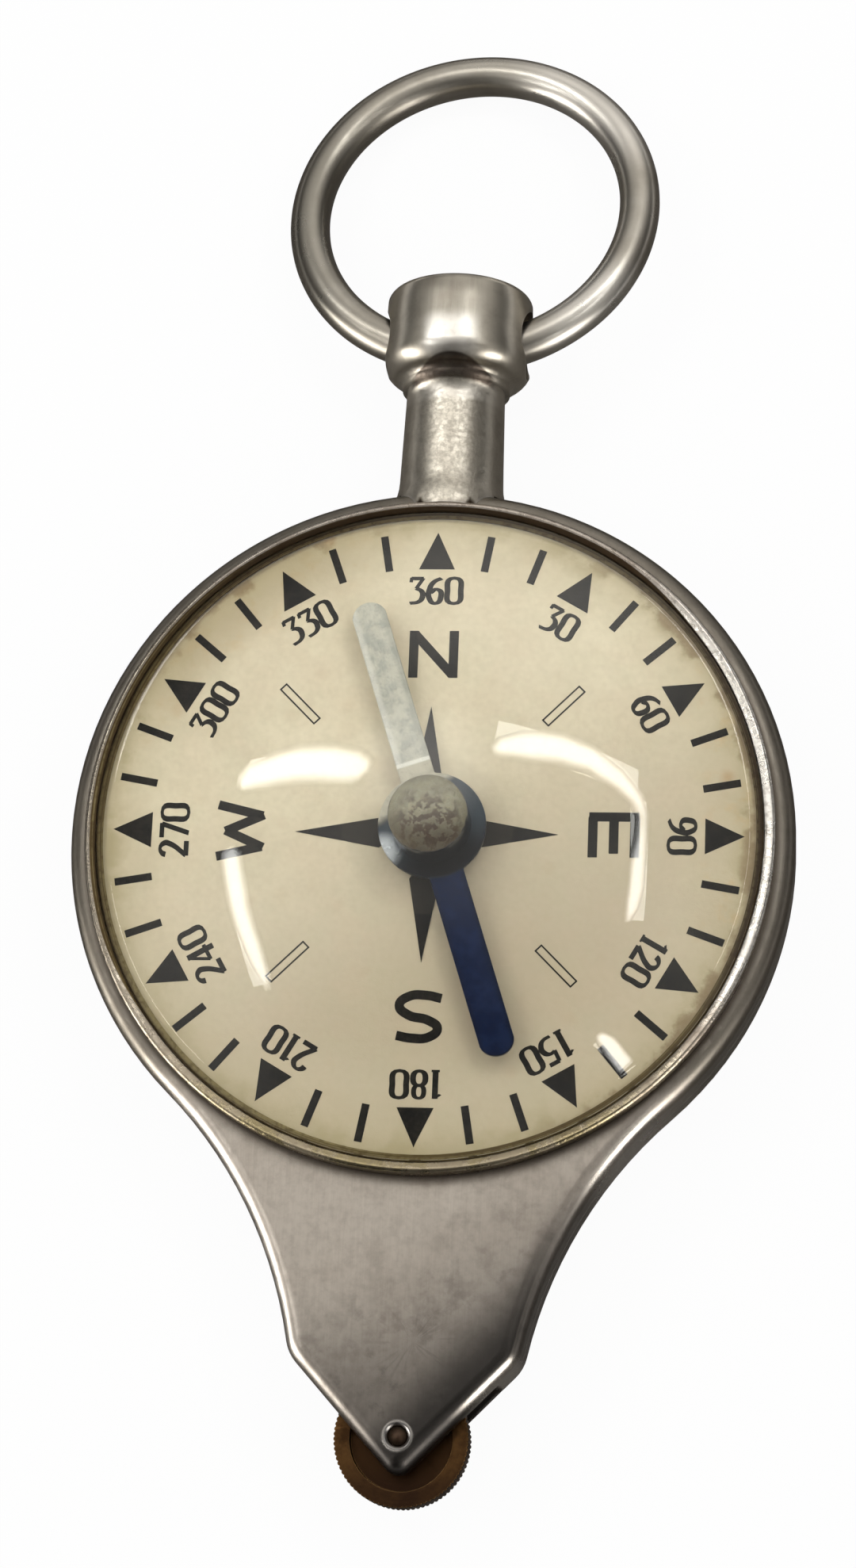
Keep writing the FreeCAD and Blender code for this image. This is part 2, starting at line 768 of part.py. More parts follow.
def train_wheel(label, y, teeth, module, floor, bore):
    """A brass wheel with crossings, turned so that a tooth points down the case towards its pinion."""
    even = round(value(teeth)) % 2 == 0
    body = new_body(label, y=y, turn=f"180 / {teeth}" if even else "0")
    toothed_disc(
        body,
        "rim",
        teeth,
        module,
        "size.tooth_share",
        "size.tooth_addendum",
        "size.tooth_dedendum",
        floor,
        "size.wheel_thickness",
    )
    hole = new_sketch(body, "bore", lift=floor)
    circle(hole, bore)
    pocket(body, hole, "size.wheel_thickness")
    inner = "size.wheel_hub"
    outer = f"({module} * {teeth} / 2 - size.tooth_dedendum * {module} - size.wheel_rim)"
    half_spoke = "(size.spoke_width / 2)"
    lean = "180 / size.spokes"
    window = new_sketch(body, "window", lift=floor)
    # corners lie half a spoke from the spokes' middle lines, which run at plus and minus the lean
    outer_run = f"sqrt({outer}^2 - {half_spoke}^2)"
    inner_run = f"sqrt({inner}^2 - {half_spoke}^2)"
    outer_x = f"({outer_run} * sin({lean}) - {half_spoke} * cos({lean}))"
    outer_y = f"({outer_run} * cos({lean}) + {half_spoke} * sin({lean}))"
    inner_x = f"({inner_run} * sin({lean}) - {half_spoke} * cos({lean}))"
    inner_y = f"({inner_run} * cos({lean}) + {half_spoke} * sin({lean}))"
    outline(
        window,
        [
            (inner_x, inner_y),
            (outer_x, outer_y, outer),
            (f"-{outer_x}", outer_y),
            (f"-{inner_x}", inner_y, f"-{inner}"),
        ],
    )
    around(body, pocket(body, window, "size.wheel_thickness"), "size.spokes")
    return body


def leaf_pinion(label, y, leaves, module, floor, width, steps):
    """A steel arbor with pinion leaves cut on it."""
    body = new_body(label, y=y)
    toothed_disc(
        body,
        "leaves",
        leaves,
        module,
        "size.leaf_share",
        "size.leaf_addendum",
        "size.leaf_dedendum",
        floor,
        width,
    )
    shaft = new_sketch(body, "shaft", plane="XZ_Plane")
    stack(shaft, *steps)
    turned(body, shaft)
    return body


bridge_top = "(size.bridge_floor + size.bridge_thickness)"
low_bearing = f"({BACK_INSIDE} - size.wall * 0.4)"

train_wheel(
    "first_wheel",
    "size.first_y",
    "size.first_teeth",
    "size.tip_module",
    "size.low_wheel_floor",
    "size.arbor_radius",
)
leaf_pinion(
    "first_pinion",
    "size.first_y",
    "size.first_leaves",
    "size.tip_module",
    "size.high_leaf_floor",
    "size.high_leaf_width",
    (
        low_bearing,
        [
            ("size.journal_radius", f"{BACK_INSIDE} + 0.1"),
            ("size.arbor_radius", "size.bridge_floor - 0.1"),
            ("size.journal_radius", bridge_top),
        ],
    ),
)
train_wheel(
    "second_wheel",
    "size.second_y",
    "size.second_teeth",
    "size.tip_module",
    "size.high_wheel_floor",
    "size.arbor_radius",
)
leaf_pinion(
    "second_pinion",
    "size.second_y",
    "size.second_leaves",
    "size.main_module",
    "size.low_leaf_floor",
    "size.low_leaf_width",
    (
        low_bearing,
        [
            ("size.journal_radius", f"{BACK_INSIDE} + 0.1"),
            ("size.arbor_radius", "size.bridge_floor - 0.1"),
            ("size.journal_radius", bridge_top),
        ],
    ),
)
train_wheel(
    "centre_wheel",
    "0",
    "size.centre_teeth",
    "size.main_module",
    "size.low_wheel_floor",
    "size.arbor_radius",
)

centre_arbor = new_body("centre_arbor")
shaft = new_sketch(centre_arbor, "shaft", plane="XZ_Plane")
stack(
    shaft,
    "size.hand_floor - size.collet_drop",
    [
        ("size.tracer_journal", f"{BACK_INSIDE} + 0.05 + size.centre_bush_rise"),
        ("size.arbor_radius", "size.bridge_floor - 0.1"),
        ("size.journal_radius", bridge_top),
    ],
)
turned(centre_arbor, shaft)


# ------------------------------------------------------------------------------------------------
# Tracing wheel on its pinion
# ------------------------------------------------------------------------------------------------

tracing_wheel = new_body("tracing_wheel", y="size.tracer_y", z="size.tracing_floor")
blank = new_sketch(tracing_wheel, "blank")
circle(blank, "size.tracing_radius")
pad(tracing_wheel, blank, "size.tracing_width")
for side, lift in (("under", "0"), ("over", "size.tracing_width - size.web_depth")):
    recess = new_sketch(tracing_wheel, f"{side}_recess", lift=lift)
    circle(recess, "size.tracing_radius - size.tracing_rim")
    circle(recess, "size.tracing_hub")
    pocket(tracing_wheel, recess, "size.web_depth")
bore = new_sketch(tracing_wheel, "bore")
circle(bore, "size.arbor_radius")
pocket(tracing_wheel, bore, "size.tracing_width")
notch = new_sketch(tracing_wheel, "knurl")
notch_half = "(size.tracing_radius * tan(180 / size.knurls) * 0.9)"
outline(
    notch,
    [
        ("0", "size.tracing_radius - size.knurl_depth"),
        (notch_half, "size.tracing_radius * 1.01"),
        (f"-{notch_half}", "size.tracing_radius * 1.01"),
    ],
)
around(tracing_wheel, pocket(tracing_wheel, notch, "size.tracing_width"), "size.knurls")

leaf_pinion(
    "tracer_pinion",
    "size.tracer_y",
    "size.tracer_leaves",
    "size.tip_module",
    "size.low_leaf_floor",
    "size.low_leaf_width",
    (
        f"{BACK} + 0.12",
        [
            ("size.tracer_journal", f"{BACK} + size.back_cheek + 0.04"),
            ("size.arbor_radius", f"{FRONT} - size.front_cheek - 0.04"),
            ("size.tracer_journal", f"{FRONT} - 0.12"),
        ],
    ),
)


def tip_bush(label, length, floor, outer_face):
    """A brass bearing in a tip hole, countersunk on its outer face."""
    body = new_body(label, y="size.tracer_y", z=floor)
    ring = new_sketch(body, "ring")
    circle(ring, "size.bush_radius")
    circle(ring, "size.tracer_journal + size.running_gap")
    pad(body, ring, length)
    bevel_off(body, circle_at(outer_face, "size.tracer_journal + size.running_gap"), "size.bush_sink")
    return body


tip_bush("front_bush", "size.front_cheek", f"{FRONT} - size.front_cheek", "size.front_cheek")
tip_bush("back_bush", "size.back_cheek", BACK, "0")

centre_bush = new_body("centre_bush")
section = new_sketch(centre_bush, "section", plane="XZ_Plane")
bush_inside = "size.tracer_journal + size.running_gap"
outline(
    section,
    [
        (bush_inside, f"{BACK} - size.dial_thickness"),
        ("size.centre_bush_radius", f"{BACK} - size.dial_thickness"),
        ("size.centre_bush_radius", BACK_INSIDE),
        ("size.centre_bush_radius * 1.3", BACK_INSIDE),
        ("size.centre_bush_radius * 1.3", f"{BACK_INSIDE} + size.centre_bush_rise"),
        (bush_inside, f"{BACK_INSIDE} + size.centre_bush_rise"),
    ],
)
turned(centre_bush, section)


# ------------------------------------------------------------------------------------------------
# Hand over the scale
# ------------------------------------------------------------------------------------------------

measuring_hand = new_body("measuring_hand", z="size.hand_floor")
pointer = new_sketch(measuring_hand, "pointer")
root_y = "sqrt(size.hand_hub^2 - size.hand_root^2)"
outline(
    pointer,
    [
        ("-size.hand_root", root_y, "size.hand_hub"),
        ("-size.hand_root", f"-{root_y}"),
        ("-size.hand_fishtail", "-size.hand_tail", "size.hand_fishtail * 1.05"),
        ("size.hand_fishtail", "-size.hand_tail"),
        ("size.hand_root", f"-{root_y}", "size.hand_hub"),
        ("size.hand_root", root_y),
        ("size.hand_point", "size.hand_reach"),
        ("-size.hand_point", "size.hand_reach"),
    ],
)
circle(pointer, "size.collet_radius")
pad(measuring_hand, pointer, "size.hand_thickness")

hand_collet = new_body("hand_collet", z="size.hand_floor - size.collet_drop")
ring = new_sketch(hand_collet, "ring")
circle(ring, "size.collet_radius")
circle(ring, "size.tracer_journal")
pad(hand_collet, ring, "size.collet_height")


# ------------------------------------------------------------------------------------------------
# Bridge on four pillars
# ------------------------------------------------------------------------------------------------

movement_bridge = new_body("movement_bridge", z="size.bridge_floor")
plate = new_sketch(movement_bridge, "plate")
half_tongue = "(size.tongue_width / 2)"
right_side = [
    (half_tongue, "size.tongue_end"),
    (half_tongue, "size.tongue_root"),
    ("size.low_pillar_x + size.plate_margin / 2", "size.low_pillar_y - size.plate_margin"),
    ("size.low_pillar_x + size.plate_margin", "size.low_pillar_y + size.plate_margin"),
    ("size.waist_half", "size.waist_y"),
    ("size.waist_half", "0"),
    ("size.high_pillar_x + size.plate_margin", "size.high_pillar_y - size.plate_margin"),
    ("size.high_pillar_x + size.plate_margin / 2", "size.high_pillar_y + size.plate_margin"),
]
left_side = [(f"-({x})", y) for x, y in reversed(right_side)]
left_side[-1] += (f"({half_tongue} * 1.05)",)
outline(plate, right_side + [("0", "size.bridge_notch")] + left_side)
for bearing_y in ("size.first_y", "size.second_y", "0"):
    circle(plate, "size.journal_radius + size.running_gap", y=bearing_y)
PILLARS = [
    (side + across, along)
    for across, along in (
        ("size.low_pillar_x", "size.low_pillar_y"),
        ("size.high_pillar_x", "size.high_pillar_y"),
    )
    for side in ("", "-")
]
for pillar_x, pillar_y in PILLARS:
    circle(plate, "size.screw_shank + size.running_gap", x=pillar_x, y=pillar_y)
pad(movement_bridge, plate, "size.bridge_thickness")


def cylinder(name, radius, length, x, y, z):
    """A round bar, standing at x, y, z."""
    bar = document.addObject("Part::Cylinder", name)
    bar.setExpression("Radius", radius)
    bar.setExpression("Height", length)
    for axis, expression in zip("xyz", (x, y, z)):
        bar.setExpression(f"Placement.Base.{axis}", expression)
    return bar


def joined(kind, name, base, tool):
    """A Part boolean of two solids."""
    feature = document.addObject(f"Part::{kind}", name)
    feature.Base = base
    feature.Tool = tool
    return feature


def group(label, members):
    """Equal pieces that share one node."""
    compound = document.addObject("Part::Compound", label)
    compound.Label = label
    compound.Links = members
    parts.append(compound)
    return compound


pillars = []
screws = []
for number, (x, y) in enumerate(PILLARS, start=1):
    tapped = "size.screw_length - size.bridge_thickness + size.running_gap"
    height = f"size.bridge_floor - {BACK_INSIDE}"
    post = cylinder(f"pillar_{number}_post", "size.pillar_radius", height, x, y, BACK_INSIDE)
    thread = cylinder(
        f"pillar_{number}_thread", "size.screw_shank", tapped, x, y, f"size.bridge_floor - ({tapped})"
    )
    pillars.append(joined("Cut", f"pillar_{number}", post, thread))
    head = cylinder(f"screw_{number}_head", "size.screw_head", "size.screw_rise", x, y, bridge_top)
    shank = cylinder(
        f"screw_{number}_shank",
        "size.screw_shank",
        "size.screw_length",
        x,
        y,
        f"{bridge_top} - size.screw_length",
    )
    slot = document.addObject("Part::Box", f"screw_{number}_slot")
    slot.setExpression("Length", "size.screw_head * 2.2")
    slot.setExpression("Width", "size.screw_slot")
    slot.setExpression("Height", "size.screw_rise")
    slot.setExpression("Placement.Base.x", f"{x} - size.screw_head * 1.1")
    slot.setExpression("Placement.Base.y", f"{y} - size.screw_slot / 2")
    slot.setExpression("Placement.Base.z", f"{bridge_top} + size.screw_rise / 2")
    solid = joined("Fuse", f"screw_{number}_solid", head, shank)
    screws.append(joined("Cut", f"screw_{number}", solid, slot))
group("bridge_pillars", pillars)
group("bridge_screws", screws)
document.recompute()


# ------------------------------------------------------------------------------------------------
# Checks and export
# ------------------------------------------------------------------------------------------------

for thing in document.Objects:
    if {"Invalid", "Error"} & set(thing.State):
        raise RuntimeError(f"{thing.Name} is {thing.State}")

os.makedirs("parts", exist_ok=True)
for part in parts:
    if part.Shape.isNull() or not part.Shape.isValid():
        raise RuntimeError(f"{part.Label} has no valid shape")
    print(f"{part.Label:18s} {len(part.Shape.Solids)} solid  {part.Shape.Volume:9.3f} mm3")
    part.Shape.exportStep(f"parts/{part.Label}.step")
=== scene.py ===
# %% [markdown]
# # A pocket map measurer
#
# The real thing is a pear-shaped nickel case, 33 mm across, on a stem with a finger ring. One side
# is a compass under a domed crystal. At the tip a small brass wheel rolls along a line on the map
# and turns a hand on the other side, over a scale in centimetres and inches.
#
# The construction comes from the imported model, which holds every sub-part at its real size. The
# cells below give each visible piece its finished mesh and its material, and they leave the inside
# of the movement as it was built.

# %% Load the construction
import math

import bmesh
import bpy
from mathutils import Matrix, Vector


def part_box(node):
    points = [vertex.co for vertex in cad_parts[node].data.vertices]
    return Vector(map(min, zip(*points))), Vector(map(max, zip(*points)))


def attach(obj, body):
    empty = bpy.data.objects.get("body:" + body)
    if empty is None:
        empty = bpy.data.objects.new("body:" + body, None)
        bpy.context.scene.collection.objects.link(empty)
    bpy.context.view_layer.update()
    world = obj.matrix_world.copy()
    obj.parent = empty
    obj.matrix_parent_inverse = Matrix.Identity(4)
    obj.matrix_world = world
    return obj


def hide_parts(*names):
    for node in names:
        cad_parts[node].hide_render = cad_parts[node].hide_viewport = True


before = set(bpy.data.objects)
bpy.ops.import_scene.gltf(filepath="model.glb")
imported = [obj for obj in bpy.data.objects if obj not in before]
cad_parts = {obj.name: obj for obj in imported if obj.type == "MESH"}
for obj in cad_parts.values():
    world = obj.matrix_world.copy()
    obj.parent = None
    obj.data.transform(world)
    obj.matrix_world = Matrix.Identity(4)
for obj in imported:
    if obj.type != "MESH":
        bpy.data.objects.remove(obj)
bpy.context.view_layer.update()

MM = 0.001

# %% [markdown]
# ## Camera
#
# A small object is looked at from close by, and that shows: its far end looks smaller than its near
# end. So the camera stands only 155 mm above the dial and leans a little, and its lens is long
# enough to fill the frame. Turning the camera with three plain rotations keeps each of them
# readable. A Track To constraint would be quicker to aim, but it can't roll the camera.

# %% Camera
CAMERA_PLACE = (17.29, -39.32, 155.05)  # millimetres
CAMERA_LEAN = 6.66  # degrees, to the right of the object
CAMERA_TILT = 15.48  # degrees, towards the tracing wheel
CAMERA_ROLL = 2.98
CAMERA_LENS = 79.75  # millimetres, on a sensor 36 mm high

camera = bpy.data.objects.new("camera", bpy.data.cameras.new("camera"))
bpy.context.scene.collection.objects.link(camera)
camera.data.lens = CAMERA_LENS
camera.data.sensor_width = 36
camera.data.clip_start = 0.01
camera.matrix_world = (
    Matrix.Translation(Vector(CAMERA_PLACE) * MM)
    @ Matrix.Rotation(math.radians(CAMERA_LEAN), 4, "Y")
    @ Matrix.Rotation(math.radians(CAMERA_TILT), 4, "X")
    @ Matrix.Rotation(math.radians(CAMERA_ROLL), 4, "Z")
)
bpy.context.scene.camera = camera
bpy.context.scene.view_settings.view_transform = "Standard"
print("camera", [round(value, 4) for value in camera.location])

# %% [markdown]
# ## Small helpers for nodes
#
# A material is a graph, and a graph built by hand in code gets long. `Field` stands for a value that
# changes over a surface, and lets masks be added and multiplied as plain numbers are: each sign
# becomes one Math node. `eased` turns any measure, such as a height or a distance, into a mask
# between 0 and 1, and `coated` lays colours over each other through such masks, lowest first.


# %% Helpers for nodes
class Field:
    """An output of a node. Arithmetic with it adds Math nodes to its tree."""

    def __init__(self, socket):
        self.socket = socket
        self.tree = socket.id_data

    def __add__(self, other):
        return calc("ADD", self, other)

    def __radd__(self, other):
        return calc("ADD", other, self)

    def __sub__(self, other):
        return calc("SUBTRACT", self, other)

    def __rsub__(self, other):
        return calc("SUBTRACT", other, self)

    def __mul__(self, other):
        return calc("MULTIPLY", self, other)

    def __rtruediv__(self, other):
        return calc("DIVIDE", other, self)

    def __abs__(self):
        return calc("ABSOLUTE", self)


def connect(socket, value):
    """Links a field to an input, or sets the input to a plain value."""
    if isinstance(value, Field):
        value.tree.links.new(value.socket, socket)
    else:
        socket.default_value = value


def add(tree, kind, options=None, inputs=None):
    """Adds a node, sets its options and connects its inputs."""
    item = tree.nodes.new(f"ShaderNode{kind}")
    for name, value in (options or {}).items():
        setattr(item, name, value)
    for key, value in (inputs or {}).items():
        connect(item.inputs[key], value)
    return item


def calc(operation, *values):
    """One Math node. At least one of its values is a field."""
    tree = next(value.tree for value in values if isinstance(value, Field))
    return Field(add(tree, "Math", {"operation": operation}, dict(enumerate(values))).outputs[0])


def either(first, second):
    """The stronger of two masks."""
    return calc("MAXIMUM", first, second)


print("signs that make nodes: + - * /")


# %% Helpers for masks and colours
def eased(value, low, high, at_low=0.0, at_high=1.0):
    """Goes from at_low to at_high while value goes from low to high, softly at both ends."""
    ends = {"Value": value, "From Min": low, "From Max": high, "To Min": at_low, "To Max": at_high}
    return Field(add(value.tree, "MapRange", {"interpolation_type": "SMOOTHSTEP"}, ends).outputs["Result"])


def tone(red, green, blue):
    """A colour for a socket, from its red, green and blue in linear light."""
    return (red, green, blue, 1.0)


def over(share, below, above):
    """Lays one colour over another. At a share of 1 only the upper one shows."""
    return Field(add(share.tree, "Mix", {"data_type": "RGBA"}, {0: share, 6: below, 7: above}).outputs[2])


def coated(colour, *coats):
    """Lays coats over a colour. Each is a pair, the share that shows and the coat's own colour."""
    for share, above in coats:
        colour = over(share, colour, above)
    return colour


print("a colour for a socket:", tone(0.62, 0.565, 0.50))


# %% Helpers for places and materials
def place(tree, centre=(0, 0, 0), turn=0.0):
    """The point on the piece in millimetres, from a centre and turned round Z by degrees."""
    shift = Matrix.Rotation(math.radians(turn), 3, "Z") @ Vector(centre)
    inputs = {
        "Vector": Field(add(tree, "TexCoord").outputs["Object"]),
        "Location": -shift,
        "Rotation": (0, 0, math.radians(turn)),
        "Scale": (1 / MM, 1 / MM, 1 / MM),
    }
    return Field(add(tree, "Mapping", None, inputs).outputs["Vector"])


def parts_of(vector):
    """The x, y and z of a vector."""
    return [Field(part) for part in add(vector.tree, "SeparateXYZ", None, {0: vector}).outputs]


def from_axis(vector):
    """How far a point is from the Z axis."""
    x, y, _ = parts_of(vector)
    return calc("SQRT", x * x + y * y)


def bump(height, depth):
    """Turns a height of 0 to 1 into a normal; depth is its size in millimetres."""
    return Field(add(height.tree, "Bump", None, {"Height": height, "Distance": depth * MM}).outputs[0])


def new_material(name, **sockets):
    """A material with one Principled BSDF, and its uniform values."""
    print("finish:", name)
    material = bpy.data.materials.new(name)
    material.use_nodes = True
    shader = material.node_tree.nodes["Principled BSDF"]
    feed(shader, **sockets)
    return material, material.node_tree, shader


def feed(shader, **sockets):
    """Connects values to the shader. Uniform ones are set on its own sockets."""
    for label, value in sockets.items():
        connect(shader.inputs[label.replace("_", " ")], value)


print("node helpers ready")

# %% [markdown]
# ## Effects that several finishes share
#
# Old plated metal, brass and paper all need the same few effects: soft clouds, fine lines left by
# polishing, rings left by a lathe, small spots, edges rubbed bright, and dirt with painted shade in
# the corners. Each is a node group, built once and placed in a material with its own sizes. Noise is
# a better start than an image here, because it has no seams and its scale is given in real millimetres.


# %% Groups of nodes for wear
def new_group(name, inputs, output):
    """An empty group, its inputs as fields and its output. Each input is (label, kind, default)."""
    group = bpy.data.node_groups.new(name, "ShaderNodeTree")
    for label, kind, default in inputs:
        socket = group.interface.new_socket(label, in_out="INPUT", socket_type=f"NodeSocket{kind}")
        if default is not None:
            socket.default_value = default
    group.interface.new_socket(output, in_out="OUTPUT", socket_type="NodeSocketFloat")
    given = group.nodes.new("NodeGroupInput").outputs
    fields = [Field(given[label]) for label, _, _ in inputs]
    return group, fields, group.nodes.new("NodeGroupOutput").inputs[output]


def use(tree, group, **values):
    """Places a group in a material and gives its only output."""
    item = add(tree, "Group", {"node_tree": group})
    for label, value in values.items():
        connect(item.inputs[label.capitalize()], value)
    return Field(item.outputs[0])


def noise(vector, scale, detail, roughness):
    """Fractal noise between 0 and 1."""
    inputs = {"Vector": vector, "Scale": scale, "Detail": detail, "Roughness": roughness}
    return Field(add(vector.tree, "TexNoise", None, inputs).outputs["Fac"])


def cloud_group():
    """Soft patches. Size is in millimetres; Low and High are where a patch starts and is full."""
    sockets = [
        ("Point", "Vector", None), ("Size", "Float", 4.0),
        ("Low", "Float", 0.4), ("High", "Float", 0.7),
    ]
    group, (point, size, low, high), result = new_group("clouds", sockets, "Mask")
    connect(result, eased(noise(point, 1.0 / size, 5.0, 0.6), low, high))
    return group


CLOUDS = cloud_group()
print("groups:", sorted(group.name for group in bpy.data.node_groups))


# %% Groups for the marks of tools
def line_group():
    """Fine straight lines, as polishing leaves them. Grain is the lines per millimetre on each axis."""
    sockets = [("Point", "Vector", None), ("Grain", "Vector", (9.0, 0.4, 9.0))]
    group, (point, grain), result = new_group("fine_lines", sockets, "Height")
    stretched = add(group, "VectorMath", {"operation": "MULTIPLY"}, {0: point, 1: grain})
    connect(result, noise(Field(stretched.outputs[0]), 1.0, 3.0, 0.7))
    return group


def lathe_group():
    """Rings round the Z axis, as a lathe leaves them. Rings is their number per millimetre."""
    sockets = [("Point", "Vector", None), ("Rings", "Float", 7.0)]
    group, (point, rings), result = new_group("lathe_rings", sockets, "Height")
    x, y, z = parts_of(point)
    seat = {"X": from_axis(point) * rings, "Y": calc("ARCTAN2", y, x) * 0.5, "Z": z * rings}
    connect(result, noise(Field(add(group, "CombineXYZ", None, seat).outputs[0]), 1.0, 2.0, 0.6))
    return group


LINES = line_group()
RINGS = lathe_group()
print("groups:", sorted(group.name for group in bpy.data.node_groups))


# %% Groups for spots, rubbed edges and dirt
def spot_group():
    """Small round spots. Size is their spacing in millimetres, and Share how many cells have one."""
    sockets = [
        ("Point", "Vector", None), ("Size", "Float", 1.0),
        ("Share", "Float", 0.2), ("Reach", "Float", 0.35),
    ]
    group, (point, size, share, reach), result = new_group("spots", sockets, "Mask")
    cells = add(group, "TexVoronoi", None, {"Vector": point, "Scale": 1.0 / size}).outputs
    chance = Field(add(group, "SeparateColor", None, {0: Field(cells["Color"])}).outputs[0])
    connect(result, calc("LESS_THAN", chance, share) * eased(Field(cells["Distance"]), reach, 0.0))
    return group


def rubbed_group():
    """Edges rubbed by hands. The Bevel node's normal departs from the true one near an edge."""
    sockets = [("Width", "Float", 0.1), ("Least", "Float", 0.004), ("Most", "Float", 0.08)]
    group, (width, least, most), result = new_group("rubbed_edges", sockets, "Mask")
    round_normal = Field(add(group, "Bevel", {"samples": 6}, {"Radius": width * MM}).outputs["Normal"])
    true_normal = Field(add(group, "NewGeometry").outputs["Normal"])
    likeness = add(group, "VectorMath", {"operation": "DOT_PRODUCT"}, {0: round_normal, 1: true_normal})
    connect(result, eased(1.0 - Field(likeness.outputs["Value"]), least, most))
    return group


def dirt_group():
    """Dirt and painted shade where two surfaces meet. Reach is how far from the corner it spreads, in
    millimetres.
    """
    group, (reach,), result = new_group("corner_dirt_and_shade", [("Reach", "Float", 0.8)], "Mask")
    open_air = add(group, "AmbientOcclusion", {"samples": 8}, {"Distance": reach * MM}).outputs["AO"]
    connect(result, eased(Field(open_air), 0.95, 0.45))
    return group


SPOTS = spot_group()
RUBBED = rubbed_group()
DIRT_AND_SHADE = dirt_group()


def patchy(point, size, low, high):
    """Places the soft patches of `clouds`."""
    return use(point.tree, CLOUDS, point=point, size=size, low=low, high=high)


def lined(point, grain):
    """Places the lines of `fine_lines`."""
    return use(point.tree, LINES, point=point, grain=grain)


print("groups:", sorted(group.name for group in bpy.data.node_groups))

# %% [markdown]
# ## Floor, lamps, softboxes and tent
#
# Polished metal is only as interesting as what it mirrors. In a studio, a few soft lamps hang round
# the camera, the object stands in a pale tent with bright and dark walls, and a dark card under it
# makes its edges stand out from a white floor. Here the two jobs of a lamp are split. Plain area
# lamps light the card and the needle, and no mirror shows them; only the crystal's inner skin does,
# faintly. What mirrors show are the softboxes, the tent and the dark card, so their shapes can be
# drawn freely without changing how light the object is. The floor is white to the camera and keeps
# a part of its own shading, so the object still has a shadow.

# %% Floor and world
FLOOR_LEVEL = -0.02
FLOOR_SIZE = 3000.0
FLOOR_SELF_WHITE = 0.95  # the share of the floor's look that doesn't depend on the lamps
SKY_LIGHT = 0.6


def stage_object(name, mesh, material):
    """Makes a bmesh drawn in millimetres into a part of the studio."""
    bmesh.ops.scale(mesh, vec=(MM, MM, MM), verts=mesh.verts)
    data = bpy.data.meshes.new(name)
    mesh.to_mesh(data)
    mesh.free()
    data.materials.append(material)
    item = bpy.data.objects.new(name, data)
    bpy.context.scene.collection.objects.link(item)
    return item


def seen_directly(tree):
    """1 for the rays that show the background: from the camera, in a mirror or through glass."""
    rays = add(tree, "LightPath").outputs
    camera_or_mirror = either(Field(rays["Is Camera Ray"]), Field(rays["Is Glossy Ray"]))
    return either(camera_or_mirror, Field(rays["Is Transmission Ray"]))


floor_paint = bpy.data.materials.new("floor_paint")
floor_paint.use_nodes = True
tree = floor_paint.node_tree
matt = Field(add(tree, "BsdfDiffuse", None, {"Color": tone(0.97, 0.97, 0.97)}).outputs[0])
white = Field(add(tree, "Emission", None, {"Strength": 1.0}).outputs[0])
share = seen_directly(tree) * FLOOR_SELF_WHITE
mixed = Field(add(tree, "MixShader", None, {0: share, 1: matt, 2: white}).outputs[0])
connect(tree.nodes["Material Output"].inputs["Surface"], mixed)

mesh = bmesh.new()
bmesh.ops.create_grid(mesh, x_segments=1, y_segments=1, size=FLOOR_SIZE / 2)
bmesh.ops.translate(mesh, vec=(0, 0, FLOOR_LEVEL), verts=mesh.verts)
stage_object("floor", mesh, floor_paint)

world = bpy.data.worlds.new("studio")
bpy.context.scene.world = world
world.use_nodes = True
tree = world.node_tree
background = tree.nodes["Background"].inputs
connect(background["Strength"], eased(seen_directly(tree), 0.0, 1.0, SKY_LIGHT, 1.0))
connect(background["Color"], tone(1.0, 1.0, 1.0))
print("floor at", FLOOR_LEVEL, "mm, sky light", SKY_LIGHT)

# %% Lamps
LAMP_HEIGHT = 300.0  # millimetres over the floor
LAMP_GLOW = 7.5  # brightness of a lamp's face
# name: (x, y of its middle, length, width, turn in degrees)
LAMPS = {
    "lamp_far_left": (-188.0, 141.0, 168.0, 44.0, -8.0),
    "lamp_far_right": (130.0, 160.0, 180.0, 42.0, -8.0),
    "lamp_right": (217.0, 50.0, 150.0, 26.0, 90.0),
    "lamp_left": (-250.0, -36.0, 165.0, 36.0, 106.0),
    "lamp_near_right": (230.0, -207.0, 100.0, 24.0, -40.0),
}

for name, (x, y, length, width, turn) in LAMPS.items():
    lamp = bpy.data.lights.new(name, "AREA")
    lamp.shape = "RECTANGLE"
    lamp.size = length * MM
    lamp.size_y = width * MM
    lamp.energy = LAMP_GLOW * math.pi * lamp.size * lamp.size_y
    lamp.color = (1.0, 0.985, 0.95)
    item = bpy.data.objects.new(name, lamp)
    item.location = (x * MM, y * MM, LAMP_HEIGHT * MM)
    item.rotation_euler.z = math.radians(turn)
    item.visible_camera = False
    item.visible_glossy = False
    bpy.context.scene.collection.objects.link(item)
print("lamps:", len(LAMPS))

# %% [markdown]
# ## Softboxes
#
# The crystal shows each softbox as a clear white shape, so the shapes matter: two broad ones at the
# far side, one of which bends round to the right, a narrow one at the left and a small one at the
# near right. Each is a ribbon laid along a few points, as wide as each point says. Its edges carry
# a value of 0 and its middle line a value of 1, and the material turns that value into a glow with
# soft borders. A vertex attribute is the simplest way to give a mesh such a value. Small and bright
# as they are, the softboxes are sampled as lamps are, or they would show up as noise. The tent and
# the card below are large enough for rays to find them without that.


# %% Softboxes
SOFTBOX_GLOW = 7.6
SOFT_BORDER = 0.65  # the share of the half width over which the glow fades
